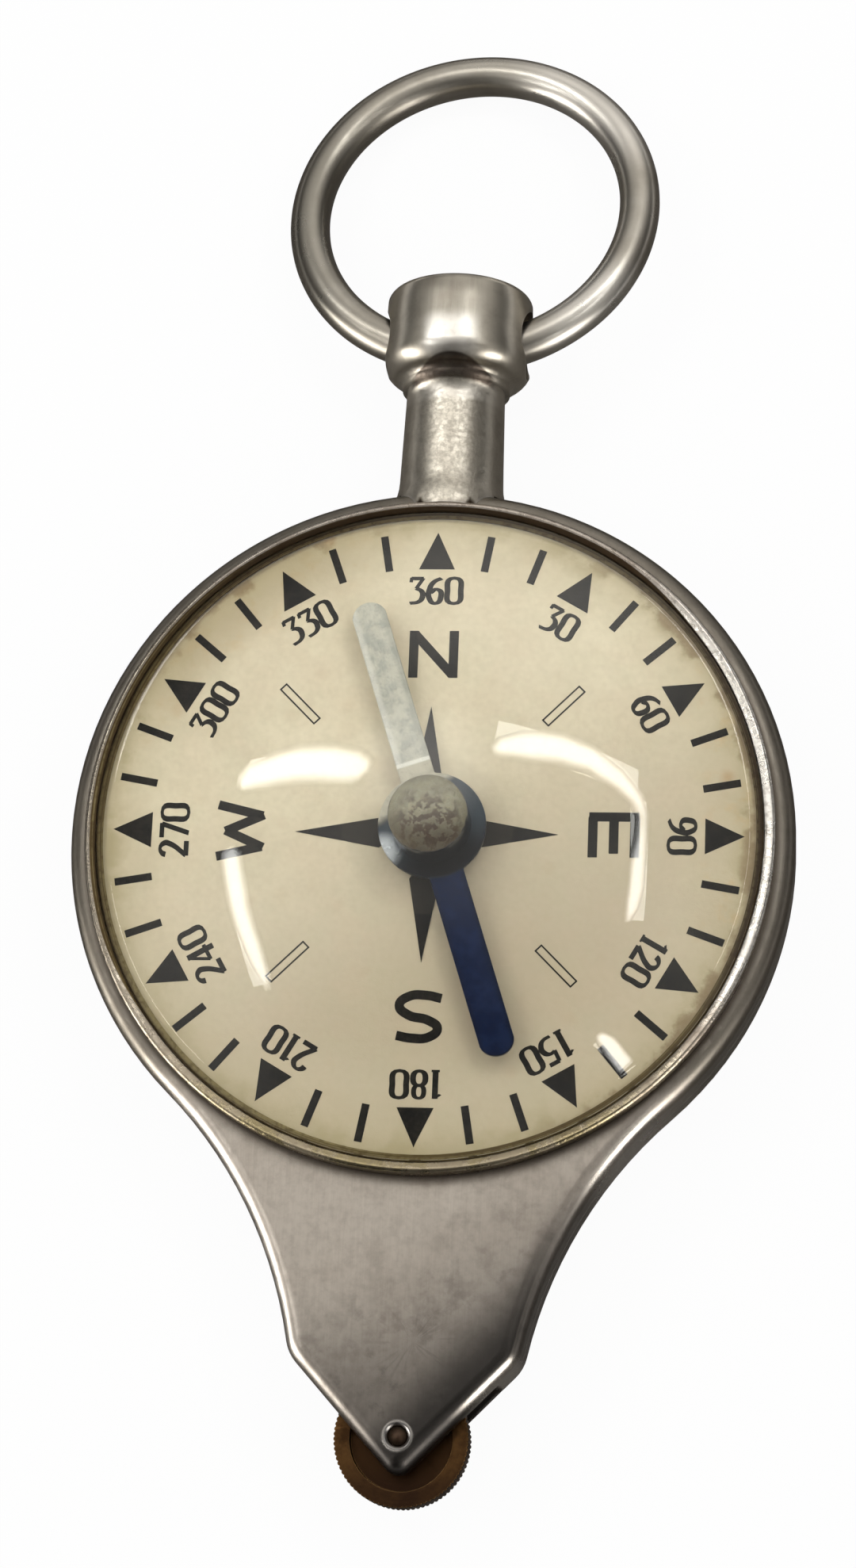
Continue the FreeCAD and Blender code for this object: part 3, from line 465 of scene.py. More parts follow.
# name: [(x, y, width, brightness), ...] at the height of the lamps
SOFTBOXES = {
    "softbox_far_left": [
        (-277, 145, 32, 0.4), (-264, 145, 46, 1.0), (-225, 145, 54, 1.0), (-182, 145, 58, 1.0),
        (-143, 138, 56, 1.0), (-112, 129, 50, 1.0), (-98, 124, 42, 0.8), (-90, 121, 32, 0.1),
    ],
    "softbox_far_right": [
        (38, 148, 22, 0.35), (50, 154, 34, 0.8), (76, 161, 48, 1.0), (115, 165, 50, 1.0),
        (152, 160, 44, 1.0), (188, 143, 38, 0.95), (214, 122, 30, 0.7), (222, 100, 22, 0.45),
        (219, 72, 22, 0.6), (214, 40, 28, 0.9), (213, 14, 28, 1.0), (209, -8, 24, 0.9), (203, -28, 12, 0.4),
    ],
    "softbox_left": [
        (-275, 52, 34, 0.5), (-273, 42, 40, 1.0), (-261, 3, 42, 1.0), (-249, -36, 38, 1.0),
        (-233, -74, 36, 0.95), (-221, -104, 26, 0.8), (-216, -122, 10, 0.3),
    ],
    "softbox_near_right": [
        (188, -169, 16, 0.6), (205, -182, 26, 1.0), (227, -205, 30, 1.0), (246, -224, 32, 1.0),
        (266, -240, 26, 0.9), (278, -250, 10, 0.4),
    ],
}


def only_in_mirrors(item):
    """Hides a part of the studio from all but glossy and transmitted rays."""
    item.visible_camera = False
    item.visible_diffuse = False
    item.visible_shadow = False
    item.visible_volume_scatter = False


def glowing(name, sampling, colour):
    """A material that only glows, with its tree and the socket of its brightness."""
    material = bpy.data.materials.new(name)
    material.use_nodes = True
    material.cycles.emission_sampling = sampling
    tree = material.node_tree
    tree.nodes.remove(tree.nodes["Principled BSDF"])
    glow = add(tree, "Emission", None, {"Color": colour})
    connect(tree.nodes["Material Output"].inputs["Surface"], Field(glow.outputs[0]))
    return material, tree, glow.inputs["Strength"]


def ribbon(route):
    """A flat ribbon along a route, with a vertex value that falls to 0 at its sides."""
    mesh = bmesh.new()
    value = mesh.verts.layers.float.new("glow")
    chains = []
    for side, fade in ((-0.5, 0.0), (0.0, 1.0), (0.5, 0.0)):
        chain = []
        for step, (x, y, width, brightness) in enumerate(route):
            before, after = route[max(step - 1, 0)], route[min(step + 1, len(route) - 1)]
            across = Vector((before[1] - after[1], after[0] - before[0])).normalized() * width * side
            vert = mesh.verts.new((x + across.x, y + across.y, LAMP_HEIGHT))
            vert[value] = fade * brightness
            chain.append(vert)
        chains.append([mesh.edges.new(pair) for pair in zip(chain, chain[1:])])
    for near, far in zip(chains, chains[1:]):
        bmesh.ops.bridge_loops(mesh, edges=near + far)
    return mesh


softbox_cloth, tree, strength = glowing("softbox_cloth", "FRONT_BACK", tone(1.0, 0.99, 0.96))
value = Field(add(tree, "Attribute", {"attribute_name": "glow"}).outputs["Fac"])
connect(strength, eased(value, 0.0, SOFT_BORDER, 0.0, SOFTBOX_GLOW))
for name, route in SOFTBOXES.items():
    only_in_mirrors(stage_object(name, ribbon(route), softbox_cloth))
print("softboxes:", len(SOFTBOXES))

# %% [markdown]
# ## Tent and dark card
#
# The tent is half a sphere. Its cloth is dim near the floor and brighter overhead, and a few soft
# patches on it stand for the bright walls and dark corners of a room. Each patch is a direction
# and an angle, so moving a highlight on the metal takes one number.

# %% Tent and dark card
TENT_RADIUS = 450.0
TENT_LOW = 0.06
TENT_HIGH = 0.6
TENT_LEAST = 0.02
CARD_RADIUS = 75.0
CARD_DARK = 45.0  # from here outwards the card gets paler
# name: (bearing from +X, height over the floor, radius of the patch, brightness), angles in degrees
PATCHES = {
    "left_window": (207.0, -2.0, 28.0, 8.5),
    "near_right_window": (-45.0, 9.0, 20.0, 5.0),
    "far_wall": (80.0, 22.0, 34.0, 0.5),
    "overhead": (105.0, 66.0, 15.0, 1.2),
    "far_left_corner": (160.0, 18.0, 30.0, -0.1),
    "right_corner": (12.0, 26.0, 28.0, -0.1),
    "near_shadow": (-85.0, 50.0, 48.0, -0.4),
}


def soft_patch(direction, bearing, height, radius, brightness):
    """A round patch of light or shade on the tent."""
    level, turn = math.radians(height), math.radians(bearing)
    aim = (math.cos(level) * math.cos(turn), math.cos(level) * math.sin(turn), math.sin(level))
    likeness = add(direction.tree, "VectorMath", {"operation": "DOT_PRODUCT"}, {0: direction, 1: aim})
    return eased(Field(likeness.outputs["Value"]), math.cos(math.radians(radius)), 1.0, 0.0, brightness)


tent_cloth, tree, strength = glowing("tent_cloth", "NONE", tone(1.0, 0.965, 0.915))
aimed = add(tree, "VectorMath", {"operation": "NORMALIZE"}, {0: place(tree)})
direction = Field(aimed.outputs[0])
folds = noise(direction, 1.7, 1.0, 0.5)
light = eased(parts_of(direction)[2], 0.1, 0.75, TENT_LOW, TENT_HIGH) * eased(folds, 0.3, 0.7, 0.7, 1.15)
for patch in PATCHES.values():
    light = light + soft_patch(direction, *patch)
connect(strength, either(light, TENT_LEAST))

mesh = bmesh.new()
bmesh.ops.create_uvsphere(mesh, u_segments=48, v_segments=24, radius=TENT_RADIUS)
everything = mesh.verts[:] + mesh.edges[:] + mesh.faces[:]
bmesh.ops.bisect_plane(
    mesh, geom=everything, plane_co=(0, 0, 0), plane_no=(0, 0, 1), clear_inner=True
)
only_in_mirrors(stage_object("tent", mesh, tent_cloth))

card_cloth, tree, strength = glowing("card_cloth", "NONE", tone(1.0, 0.93, 0.85))
connect(strength, eased(from_axis(place(tree)), CARD_DARK, CARD_RADIUS, 0.1, 0.9))
mesh = bmesh.new()
bmesh.ops.create_circle(mesh, cap_ends=True, segments=64, radius=CARD_RADIUS)
bmesh.ops.translate(mesh, vec=(0, 0, FLOOR_LEVEL / 2), verts=mesh.verts)
dark_card = stage_object("dark_card", mesh, card_cloth)
only_in_mirrors(dark_card)
dark_card.visible_transmission = False
print("tent radius", TENT_RADIUS, "mm, patches:", len(PATCHES))

# %% [markdown]
# ## Small helpers for modelling
#
# Everything is drawn in millimetres round the dial's axis and scaled to metres at the very end, so
# the numbers are those a watchmaker would use. Most pieces were turned on a lathe, and `turned`
# does just that: it spins a drawn outline round the axis. Pieces whose shape is already right in
# the construction are copied, merged into one skin and given softly broken edges, because no real
# edge is perfectly sharp and it is the tiny round that catches the light.


# %% Helpers for modelling
FULL_TURN = 2 * math.pi
LATHE_STEPS = 144
MERGE_GAP = 0.0006  # points nearer than this many millimetres are one
CREASE = math.radians(32)
FLAT = math.radians(1)  # faces that meet at less than this angle become one


def joined(mesh):
    """Merges the points that lie on each other and turns all faces outwards."""
    bmesh.ops.remove_doubles(mesh, verts=mesh.verts, dist=MERGE_GAP)
    bmesh.ops.recalc_face_normals(mesh, faces=mesh.faces)
    return mesh


def creases(mesh):
    """The edges where two faces meet at more than the angle that shades as a crease."""
    return [edge for edge in mesh.edges if edge.is_manifold and edge.calc_face_angle() > CREASE]


def rounded(mesh, edges, width, segments=2):
    """Rounds some edges of a mesh a little."""
    bmesh.ops.bevel(
        mesh, geom=edges, offset=width, offset_type="OFFSET", segments=segments,
        profile=0.5, affect="EDGES", material=-1,
    )
    return mesh


def turned(outline, closed=True, steps=LATHE_STEPS):
    """Spins an outline of (radius, height) points round Z. An open one starts and ends on the axis."""
    mesh = bmesh.new()
    corners = [mesh.verts.new((radius, 0, height)) for radius, height in outline]
    ends = corners[1:] + corners[:1] if closed else corners[1:]
    sides = [mesh.edges.new(pair) for pair in zip(corners, ends)]
    bmesh.ops.spin(
        mesh, geom=corners + sides, axis=(0, 0, 1), cent=(0, 0, 0),
        angle=FULL_TURN, steps=steps, use_merge=True,
    )
    return joined(mesh)


def copied(node, width=0.0):
    """A merged copy of a sub-part's mesh, in millimetres, with its creases rounded by width."""
    mesh = bmesh.new()
    mesh.from_mesh(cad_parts[node].data)
    bmesh.ops.scale(mesh, vec=(1 / MM, 1 / MM, 1 / MM), verts=mesh.verts)
    bmesh.ops.remove_doubles(mesh, verts=mesh.verts, dist=MERGE_GAP)
    if width:
        bmesh.ops.dissolve_limit(mesh, angle_limit=FLAT, verts=mesh.verts, edges=mesh.edges)
        rounded(mesh, creases(mesh), width)
    return mesh


def finished(name, mesh, body, material, hides=(), even=False):
    """Makes a bmesh drawn in millimetres into a piece that rides on a body. With even set, large
    faces keep their shading flat next to small ones."""
    bmesh.ops.scale(mesh, vec=(MM, MM, MM), verts=mesh.verts)
    data = bpy.data.meshes.new(name)
    mesh.to_mesh(data)
    mesh.free()
    data.shade_smooth()
    data.set_sharp_from_angle(angle=CREASE)
    data.materials.append(material)
    item = bpy.data.objects.new(name, data)
    bpy.context.scene.collection.objects.link(item)
    if even:
        modifier = item.modifiers.new("even_shading", "WEIGHTED_NORMAL")
        modifier.keep_sharp = True
    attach(item, body)
    if hides:
        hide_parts(*hides)
    print(name, "faces:", len(data.polygons))
    return item


def measured(node):
    """Lowest and highest corner of a sub-part, in millimetres."""
    low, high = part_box(node)
    return low / MM, high / MM


print("case:", [round(value, 2) for value in measured("front_shell")[1]])

# %% [markdown]
# ## Nickel case
#
# The two half shells were pressed from brass sheet and nickel plated. Decades of handling leave the
# plate satin rather than bright: vertical polishing lines, cloudy patches and a bright line wherever
# an edge is rubbed. The grey is also painted darker towards the lower right, the tip, the right flank
# and the round side beside the bezel, which is painted shade. The shells' outline is the construction's
# own, so each is a merged copy with weighted normals, which keep the flat cheeks flat next to their
# rounded edges.
#
# Wear has its places, so the finishes read where they are on the object. Unless `place` is given
# another centre, x and y are millimetres from the middle of the dial, x to the right and y towards
# the ring. So `eased(y, -13.0, -15.0)` starts 13 mm below the middle and is full 2 mm lower.


# %% Finish: worn nickel plate
SCRATCHED_SPOT = (0.45, -22.6, 0.0)  # a fan of fine scratches on the plate above the tip
TIP_EDGE = (5.0, -23.3)  # a point on the right-hand edge that slants down to the tip
SLANT = (0.7, 0.714)  # how much a step in x and in y changes the distance from that edge
BESIDE_BEZEL = (15.45, 15.55)  # the round side of the case starts between these radii


def fan_of_scratches(tree):
    """Short scratches that run out from one spot."""
    point = place(tree, centre=SCRATCHED_SPOT)
    x, y, _ = parts_of(point)
    distance = from_axis(point)
    seat = add(tree, "CombineXYZ", None, {"X": calc("ARCTAN2", y, x) * 7.0, "Y": distance * 0.5, "Z": 3.0})
    streaks = eased(noise(Field(seat.outputs[0]), 1.0, 3.0, 0.5), 0.54, 0.66)
    return streaks * eased(distance, 2.6, 0.6)


def nickel_case():
    material, tree, shader = new_material("nickel_case", Metallic=1.0)
    point = place(tree)
    x, y, _ = parts_of(point)
    radius = from_axis(point)
    upright = abs(parts_of(Field(add(tree, "NewGeometry").outputs["Normal"]))[2])
    lines = lined(point, (6.0, 0.22, 6.0))
    hairs = lined(point, (13.0, 0.6, 13.0))
    clouds = patchy(point, 3.2, 0.42, 0.68)
    smears = patchy(point, 0.8, 0.48, 0.72)
    grains = patchy(point, 0.3, 0.4, 0.7)
    rubbed = use(tree, RUBBED, width=0.2)
    by_the_edge = use(tree, RUBBED, width=1.5, least=0.0, most=0.1)

    # The narrow sides of the tail are polished, apart from the tip and two stretches beside it.
    on_side = eased(upright, 0.93, 0.78)
    left_slant = eased(x, 0.0, -2.0) * eased(y, -22.9, -23.8, 0.0, 0.9)
    right_flank = eased(x, 1.5, 3.0) * eased(y, -23.4, -22.8, 0.0, 0.8) * eased(y, -14.5, -16.5)
    at_the_tip = eased(y, -24.4, -26.0)
    unpolished = either(at_the_tip, either(left_slant, right_flank))
    edge_of_tail = either(on_side * (eased(y, -11.5, -13.5) - unpolished), 0.0)

    # The flat of the tail has painted shade towards its right edge and its tip, and so has the side of the
    # right flank.
    from_slant = (y - TIP_EDGE[1]) * SLANT[1] - (x - TIP_EDGE[0]) * SLANT[0]
    by_the_slant = eased(from_slant + smears * 0.5, 3.7, 0.9)
    by_the_flank = by_the_edge * (eased(x, 2.0, 4.2) * eased(y, -15.5, -19.0))
    shade = either(either(by_the_slant, by_the_flank), eased(y, -20.0, -29.0, 0.0, 0.6))
    polished_line = eased(upright, 0.86, 0.72) * (1.0 - at_the_tip)
    shade = shade * eased(y, -13.0, -15.0) * (1.0 - polished_line)
    shade = either(shade, right_flank * on_side * 0.7)
    # Painted shade on the round side of the case beside the bezel.
    round_side = eased(radius, *BESIDE_BEZEL) * eased(y, -12.5, -10.0)
    slope = x * 0.6 - y
    # Painted shade that deepens towards the lower right of the plate.
    shade_to_lower_right = eased(slope, 17.0, 25.5, 0.0, 0.6) * eased(smears, 0, 1, 0.85, 1.2)
    smudged = patchy(point, 0.7, 0.4, 0.72) * eased(slope, 15.5, 22.0, 0.05, 0.32)

    colour = coated(
        over(clouds, tone(0.62, 0.565, 0.50), tone(0.54, 0.485, 0.425)),
        (eased(lines, 0.42, 0.6) * 0.13, tone(0.40, 0.355, 0.31)),
        (eased(hairs, 0.5, 0.62) * 0.12, tone(0.72, 0.67, 0.6)),
        (smears * 0.28, tone(0.33, 0.295, 0.26)),
        (grains * 0.22, tone(0.34, 0.30, 0.26)),
        (shade_to_lower_right, tone(0.12, 0.107, 0.098)),
        (smudged, tone(0.19, 0.165, 0.14)),
        (fan_of_scratches(tree) * 0.3, tone(0.16, 0.14, 0.13)),
        (edge_of_tail * 0.75, tone(0.88, 0.83, 0.76)),
        (round_side * 0.7, tone(0.14, 0.128, 0.10)),
        (shade * 0.93, tone(0.045, 0.042, 0.04)),
        (rubbed * 0.85, tone(0.88, 0.84, 0.79)),
        # Dirt and painted shade in the corners.
        (use(tree, DIRT_AND_SHADE, reach=0.9), tone(0.085, 0.07, 0.058)),
    )
    smoothed = either(rubbed, edge_of_tail) * eased(x, -3.0, 1.0, 0.06, 0.17)
    rough = eased(clouds, 0.0, 1.0, 0.3, 0.38) + lines * 0.1 - smoothed
    feed(shader, Base_Color=colour, Roughness=rough, Normal=bump(hairs, 0.006))
    return material


NICKEL_CASE = nickel_case()
for half in ("front_shell", "back_shell"):
    finished(f"{half}_plated", copied(half), "case", NICKEL_CASE, [half], even=True)

# %% [markdown]
# ## Stem and finger ring
#
# The stem was turned from bar and polished, and both have gone satin. The neck, which fingers don't
# reach, is finely speckled. Light is painted on the stem too: a highlight on the lower half of the
# head with a dark painted reflection in the groove under it, a bright streak down the neck, a bright
# collar and lighter sides.
# The stem is a merged copy, because the eye for the ring is bored right through its head. The ring
# is bent wire. A torus could be added ready made, but spinning a small circle gives the same form
# from two driving sizes.


# %% Finish: polished nickel, dulled
HEAD_START = 22.6  # where the stem's neck ends and its head begins, in millimetres along the stem
HEAD_PATCH = (-0.1, 23.6, 0.0)  # the middle of a painted highlight on the head
GROOVE_TOP = 22.8  # a dark crescent under the highlight, a painted reflection in the groove
GROOVE_FOOT = 21.75
GROOVE_SAG = 0.2
COLLAR = (20.7, 21.8)  # a painted highlight on the collar under the groove, from and to


def nickel_stem():
    material, tree, shader = new_material("nickel_stem", Metallic=1.0)
    point = place(tree)
    x, y, _ = parts_of(point)
    head = eased(y, HEAD_START - 0.5, HEAD_START + 0.3)
    neck = 1.0 - head
    lines = lined(point, (3.2, 0.25, 3.2))
    grains = patchy(point, 0.22, 0.36, 0.66)
    blotches = patchy(point, 0.9, 0.45, 0.7)
    clouds = patchy(point, 2.4, 0.4, 0.7)
    across, along, _ = parts_of(place(tree, centre=HEAD_PATCH))
    painted_highlight = eased(abs(across), 1.7, 0.6) * eased(abs(along), 1.3, 0.4)
    sag = x * x * GROOVE_SAG
    crescent = eased(y + sag, GROOVE_TOP, GROOVE_TOP - 0.12)
    crescent = crescent * eased(y + sag * 0.35, GROOVE_FOOT, GROOVE_FOOT + 0.2) * eased(abs(x), 2.1, 1.7)
    # A painted highlight runs down the middle of the neck.
    highlight_streak = eased(abs(x + 0.25), 1.7, 0.2) * neck
    collar = eased(y, COLLAR[0], COLLAR[0] + 0.3) * eased(y, COLLAR[1], COLLAR[1] - 0.3)
    colour = coated(
        over(clouds, tone(0.46, 0.43, 0.37), tone(0.37, 0.34, 0.29)),
        (eased(lines, 0.42, 0.6) * (head * 0.3), tone(0.25, 0.225, 0.19)),
        (painted_highlight * 0.95, tone(0.95, 0.92, 0.86)),
        (highlight_streak * 0.8, tone(0.86, 0.81, 0.70)),
        (grains * neck * 0.45, tone(0.25, 0.22, 0.18)),
        (collar * 0.7, tone(0.90, 0.86, 0.78)),
        # Painted light on both sides of the stem.
        (eased(abs(x), 1.1, 1.8) * 0.7, tone(0.74, 0.69, 0.59)),
        (crescent * 0.9, tone(0.075, 0.055, 0.045)),
        (blotches * 0.3, tone(0.32, 0.285, 0.235)),
        (use(tree, RUBBED, width=0.15) * 0.5, tone(0.86, 0.82, 0.76)),
        # Dirt and painted shade in the corners.
        (use(tree, DIRT_AND_SHADE, reach=0.7), tone(0.10, 0.08, 0.06)),
    )
    rough = eased(head, 0.0, 1.0, 0.3 + grains * 0.1, 0.3 + clouds * 0.06)
    height = grains * eased(head, 0.0, 1.0, 1.0, 0.02)
    feed(shader, Base_Color=colour, Roughness=rough, Normal=bump(height, 0.004))
    return material


def nickel_ring():
    material, tree, shader = new_material("nickel_ring", Metallic=1.0)
    point = place(tree)
    x, y, _ = parts_of(point)
    clouds = patchy(point, 3.0, 0.35, 0.7)
    # Painted highlights at the upper and lower right of the ring, and painted shade on its left.
    highlight_upper_right = eased(x, 1.0, 4.0) * eased(y, 33.0, 36.0)
    highlight_lower_right = eased(x, 3.0, 5.5) * eased(y, 29.0, 27.0)
    colour = coated(
        over(clouds, tone(0.56, 0.53, 0.47), tone(0.43, 0.40, 0.345)),
        (patchy(point, 0.5, 0.4, 0.75) * 0.07, tone(0.33, 0.30, 0.26)),
        (eased(x, -4.5, -7.5, 0.0, 0.6), tone(0.24, 0.225, 0.19)),
        (either(highlight_upper_right, highlight_lower_right) * 0.75, tone(0.86, 0.83, 0.77)),
    )
    waves = lined(point, (0.6, 0.6, 0.6))
    feed(shader, Base_Color=colour, Roughness=0.27 + clouds * 0.08, Normal=bump(waves, 0.001))
    return material


finished("stem_plated", copied("stem"), "case", nickel_stem(), ["stem"], even=True)

# %% Finger ring
RING_WIRE = 0.95  # radius of the wire
RING_RADIUS = 8.0  # from the middle of the ring to the middle of the wire
RING_CENTRE = (0.26, 31.754, 2.441)
RING_DIP = 9.65  # degrees that the ring leans down to the table
RING_TWIST = 3.7  # degrees that its right side stands higher, by its play in the eye
RING_STEPS = 180
WIRE_SIDES = 40

mesh = bmesh.new()
section = bmesh.ops.create_circle(mesh, segments=WIRE_SIDES, radius=RING_WIRE)["verts"]
bmesh.ops.rotate(mesh, cent=(0, 0, 0), matrix=Matrix.Rotation(math.pi / 2, 3, "X"), verts=section)
bmesh.ops.translate(mesh, vec=(RING_RADIUS, 0, 0), verts=section)
bmesh.ops.spin(
    mesh, geom=mesh.verts[:] + mesh.edges[:], axis=(0, 0, 1), cent=(0, 0, 0),
    angle=FULL_TURN, steps=RING_STEPS, use_merge=True,
)
joined(mesh)
lean = Matrix.Rotation(math.radians(-RING_DIP), 3, "X") @ Matrix.Rotation(math.radians(-RING_TWIST), 3, "Y")
bmesh.ops.rotate(mesh, cent=(0, 0, 0), matrix=lean, verts=mesh.verts)
bmesh.ops.translate(mesh, vec=RING_CENTRE, verts=mesh.verts)
finished("finger_ring_plated", mesh, "ring", nickel_ring(), ["finger_ring"])

# %% [markdown]
# ## Bezels
#
# A bezel is a thin turned ring that clamps the crystal. The plate is worn through to brass along the
# lower rim, where a thumb slides the measure out of a pocket, and the inner wall has gone brown,
# because polish never reaches it. Both are masks made from a place on the ring, how far down the dial
# or how far from the axis, so they need no painting. On the far half the wall is darker still, partly
# that brown and partly painted shade, and the nickel is painted lighter on the right and darker on
# the left, as light falls on it.


# %% Finish: bezel
RIM_INNER = 14.95  # radius of the compass bezel's inner wall
MEASURING_RIM_INNER = 14.3
BROWNED_SLOPE = 0.26  # how far up the rim's slope the brown of the inner wall reaches, at its widest


def nickel_bezel(rim_radius, worn_to_brass):
    material, tree, shader = new_material("nickel_bezel", Metallic=1.0)
    point = place(tree)
    x, y, _ = parts_of(point)
    rings = use(tree, RINGS, point=point, rings=9.0)
    clouds = patchy(point, 1.6, 0.4, 0.65)
    fine = patchy(point, 0.3, 0.42, 0.68)
    thumb = eased(y, -7.0, -14.0) * worn_to_brass
    # Painted highlight on the right side of the rim.
    right_side = eased(x, 8.0, 13.5) * eased(y, -9.0, -5.0, 0.0, 0.9)
    brown_limit = eased(y - x * 0.8, -2.0, 7.0, rim_radius, rim_radius + BROWNED_SLOPE)
    inner = eased(from_axis(point) - brown_limit, 0.02, -0.04)
    olive = eased(rings, 0.45, 0.62) * eased(fine, 0.0, 1.0, 0.75, 0.3)
    # The far half is darker still: partly brown that was never wiped, partly painted shade in the gap by the
    # wall.
    never_wiped_and_shaded = eased(y, -9.0, -4.0) * eased(olive, 0.0, 0.6, 0.95, 0.6) * eased(x, -13.5, -7.0, 0.45, 1.0)
    brown = coated(
        over(olive, tone(0.12, 0.085, 0.038), tone(0.34, 0.28, 0.13)),
        (never_wiped_and_shaded, tone(0.045, 0.026, 0.012)),
    )
    colour = coated(
        over(clouds, tone(0.60, 0.545, 0.48), tone(0.42, 0.365, 0.315)),
        (thumb * eased(clouds, 0.0, 1.0, 0.9, 0.5), tone(0.34, 0.28, 0.14)),
        (right_side, tone(0.95, 0.92, 0.86)),
        # Painted shade on the left side of the rim.
        (eased(x, -9.0, -13.0, 0.0, 0.6), tone(0.20, 0.175, 0.125)),
        (fine * 0.4, tone(0.24, 0.20, 0.15)),
        (inner * 0.97, brown),
        # Dirt and painted shade in the corners.
        (use(tree, DIRT_AND_SHADE, reach=0.35) * 0.8, tone(0.05, 0.035, 0.02)),
    )
    rough = eased(clouds, 0.0, 1.0, 0.2, 0.3) + inner * 0.25
    feed(shader, Base_Color=colour, Roughness=rough, Normal=bump(rings + fine, 0.006))
    return material


COMPASS_RIM = nickel_bezel(RIM_INNER, worn_to_brass=1.0)
MEASURING_RIM = nickel_bezel(MEASURING_RIM_INNER, worn_to_brass=0.6)

# %% Compass bezel
low, high = measured("compass_bezel")
LEDGE_INNER = 14.5
LEDGE_RISE = 0.4
RIM_CREST = 15.27  # from here the rim falls inwards, rubbed down by the cloth of a pocket
RIM_FALL = 0.12
RIM_ROUND = 0.05
ledge_level = low.z + LEDGE_RISE
mesh = turned([
    (LEDGE_INNER, low.z),
    (high.x, low.z),
    (high.x, high.z - RIM_FALL),
    (high.x - RIM_FALL, high.z),
    (RIM_CREST, high.z),
    (RIM_INNER, high.z - RIM_FALL),
    (RIM_INNER, ledge_level),
    (LEDGE_INNER, ledge_level),
])
top_level = high.z - RIM_FALL - MERGE_GAP
top_edges = [edge for edge in creases(mesh) if min(vert.co.z for vert in edge.verts) > top_level]
rounded(mesh, top_edges, RIM_ROUND, segments=3)
finished("compass_bezel_plated", mesh, "case", COMPASS_RIM, ["compass_bezel"])

# %% Measuring bezel
mesh = copied("measuring_bezel", width=0.05)
finished(
    "measuring_bezel_plated", mesh, "case", MEASURING_RIM, ["measuring_bezel"], even=True
)

# %% [markdown]
# ## Crystal
#
# The compass has a domed crystal, moulded with an even wall. Its two skins are parts of two spheres
# with one centre, so the outline is two arcs, worked out from the rise and the width, and spun
# round the axis. Glass needs real thickness in a renderer that bends light: a single skin would
# turn the whole dome into a solid lens. For shadow rays the material is plain transparent, so the
# dial under it is lit as through a real thin crystal.

# %% Finish: crystal
def crystal(name, tint):
    material, tree, shader = new_material(
        name, Base_Color=tint, Roughness=0.0, IOR=1.49, Transmission_Weight=1.0
    )
    clear = Field(add(tree, "BsdfTransparent", None, {"Color": tone(0.96, 0.965, 0.95)}).outputs[0])
    shadow = Field(add(tree, "LightPath").outputs["Is Shadow Ray"])
    inputs = {0: shadow, 1: Field(shader.outputs[0]), 2: clear}
    mixed = Field(add(tree, "MixShader", None, inputs).outputs[0])
    connect(tree.nodes["Material Output"].inputs["Surface"], mixed)
    return material


CRYSTAL = crystal("crystal", tone(0.985, 0.99, 0.975))

# %% Domed crystal
low, high = measured("compass_crystal")
CRYSTAL_RADIUS = high.x
CRYSTAL_WALL = 0.65
CRYSTAL_RISE = 4.05  # from the top of its edge to the top of the dome
DOME_RADIUS = (CRYSTAL_RADIUS ** 2 + CRYSTAL_RISE ** 2) / (2 * CRYSTAL_RISE)
DOME_CENTRE = high.z - DOME_RADIUS
DOME_STEPS = 40


def dome(radius, reach):
    """Points along an arc from the axis out to reach, on a sphere round the dome's centre."""
    spread = math.asin(reach / radius)
    angles = [spread * step / DOME_STEPS for step in range(DOME_STEPS + 1)]
    return [(radius * math.sin(angle), DOME_CENTRE + radius * math.cos(angle)) for angle in angles]


outer = dome(DOME_RADIUS, CRYSTAL_RADIUS)
inner_radius = DOME_RADIUS - CRYSTAL_WALL
inner = dome(inner_radius, math.sqrt(inner_radius ** 2 - (low.z - DOME_CENTRE) ** 2))
mesh = turned(outer + [(CRYSTAL_RADIUS, low.z)] + inner[::-1], closed=False)
finished("compass_crystal_clear", mesh, "case", CRYSTAL, ["compass_crystal"])
print("dome radius", round(DOME_RADIUS, 2), "mm")

# %% Flat crystal
low, high = measured("measuring_crystal")
mesh = turned([(0, low.z), (high.x, low.z), (high.x, high.z), (0, high.z)], closed=False)
rounded(mesh, creases(mesh), 0.08)
finished("measuring_crystal_clear", mesh, "case", CRYSTAL, ["measuring_crystal"])

# %% [markdown]
# ## Printed cards
#
# The compass card is cream paper on a thin disc. Age shows in three ways: it browns towards the rim,
# it has orange stains in two places by the rim, and the fibres mottle it everywhere. Towards the wheel
# and the lower right it is darker, which is painted shade. A shallow embossed ring surrounds the star.
# The card is turned like the metal parts; its ring is three more points in the outline. The hole for
# the pivot is in the middle of the bezel but the pivot stands a little to the right of it, so the hole
# is made wide enough for both.

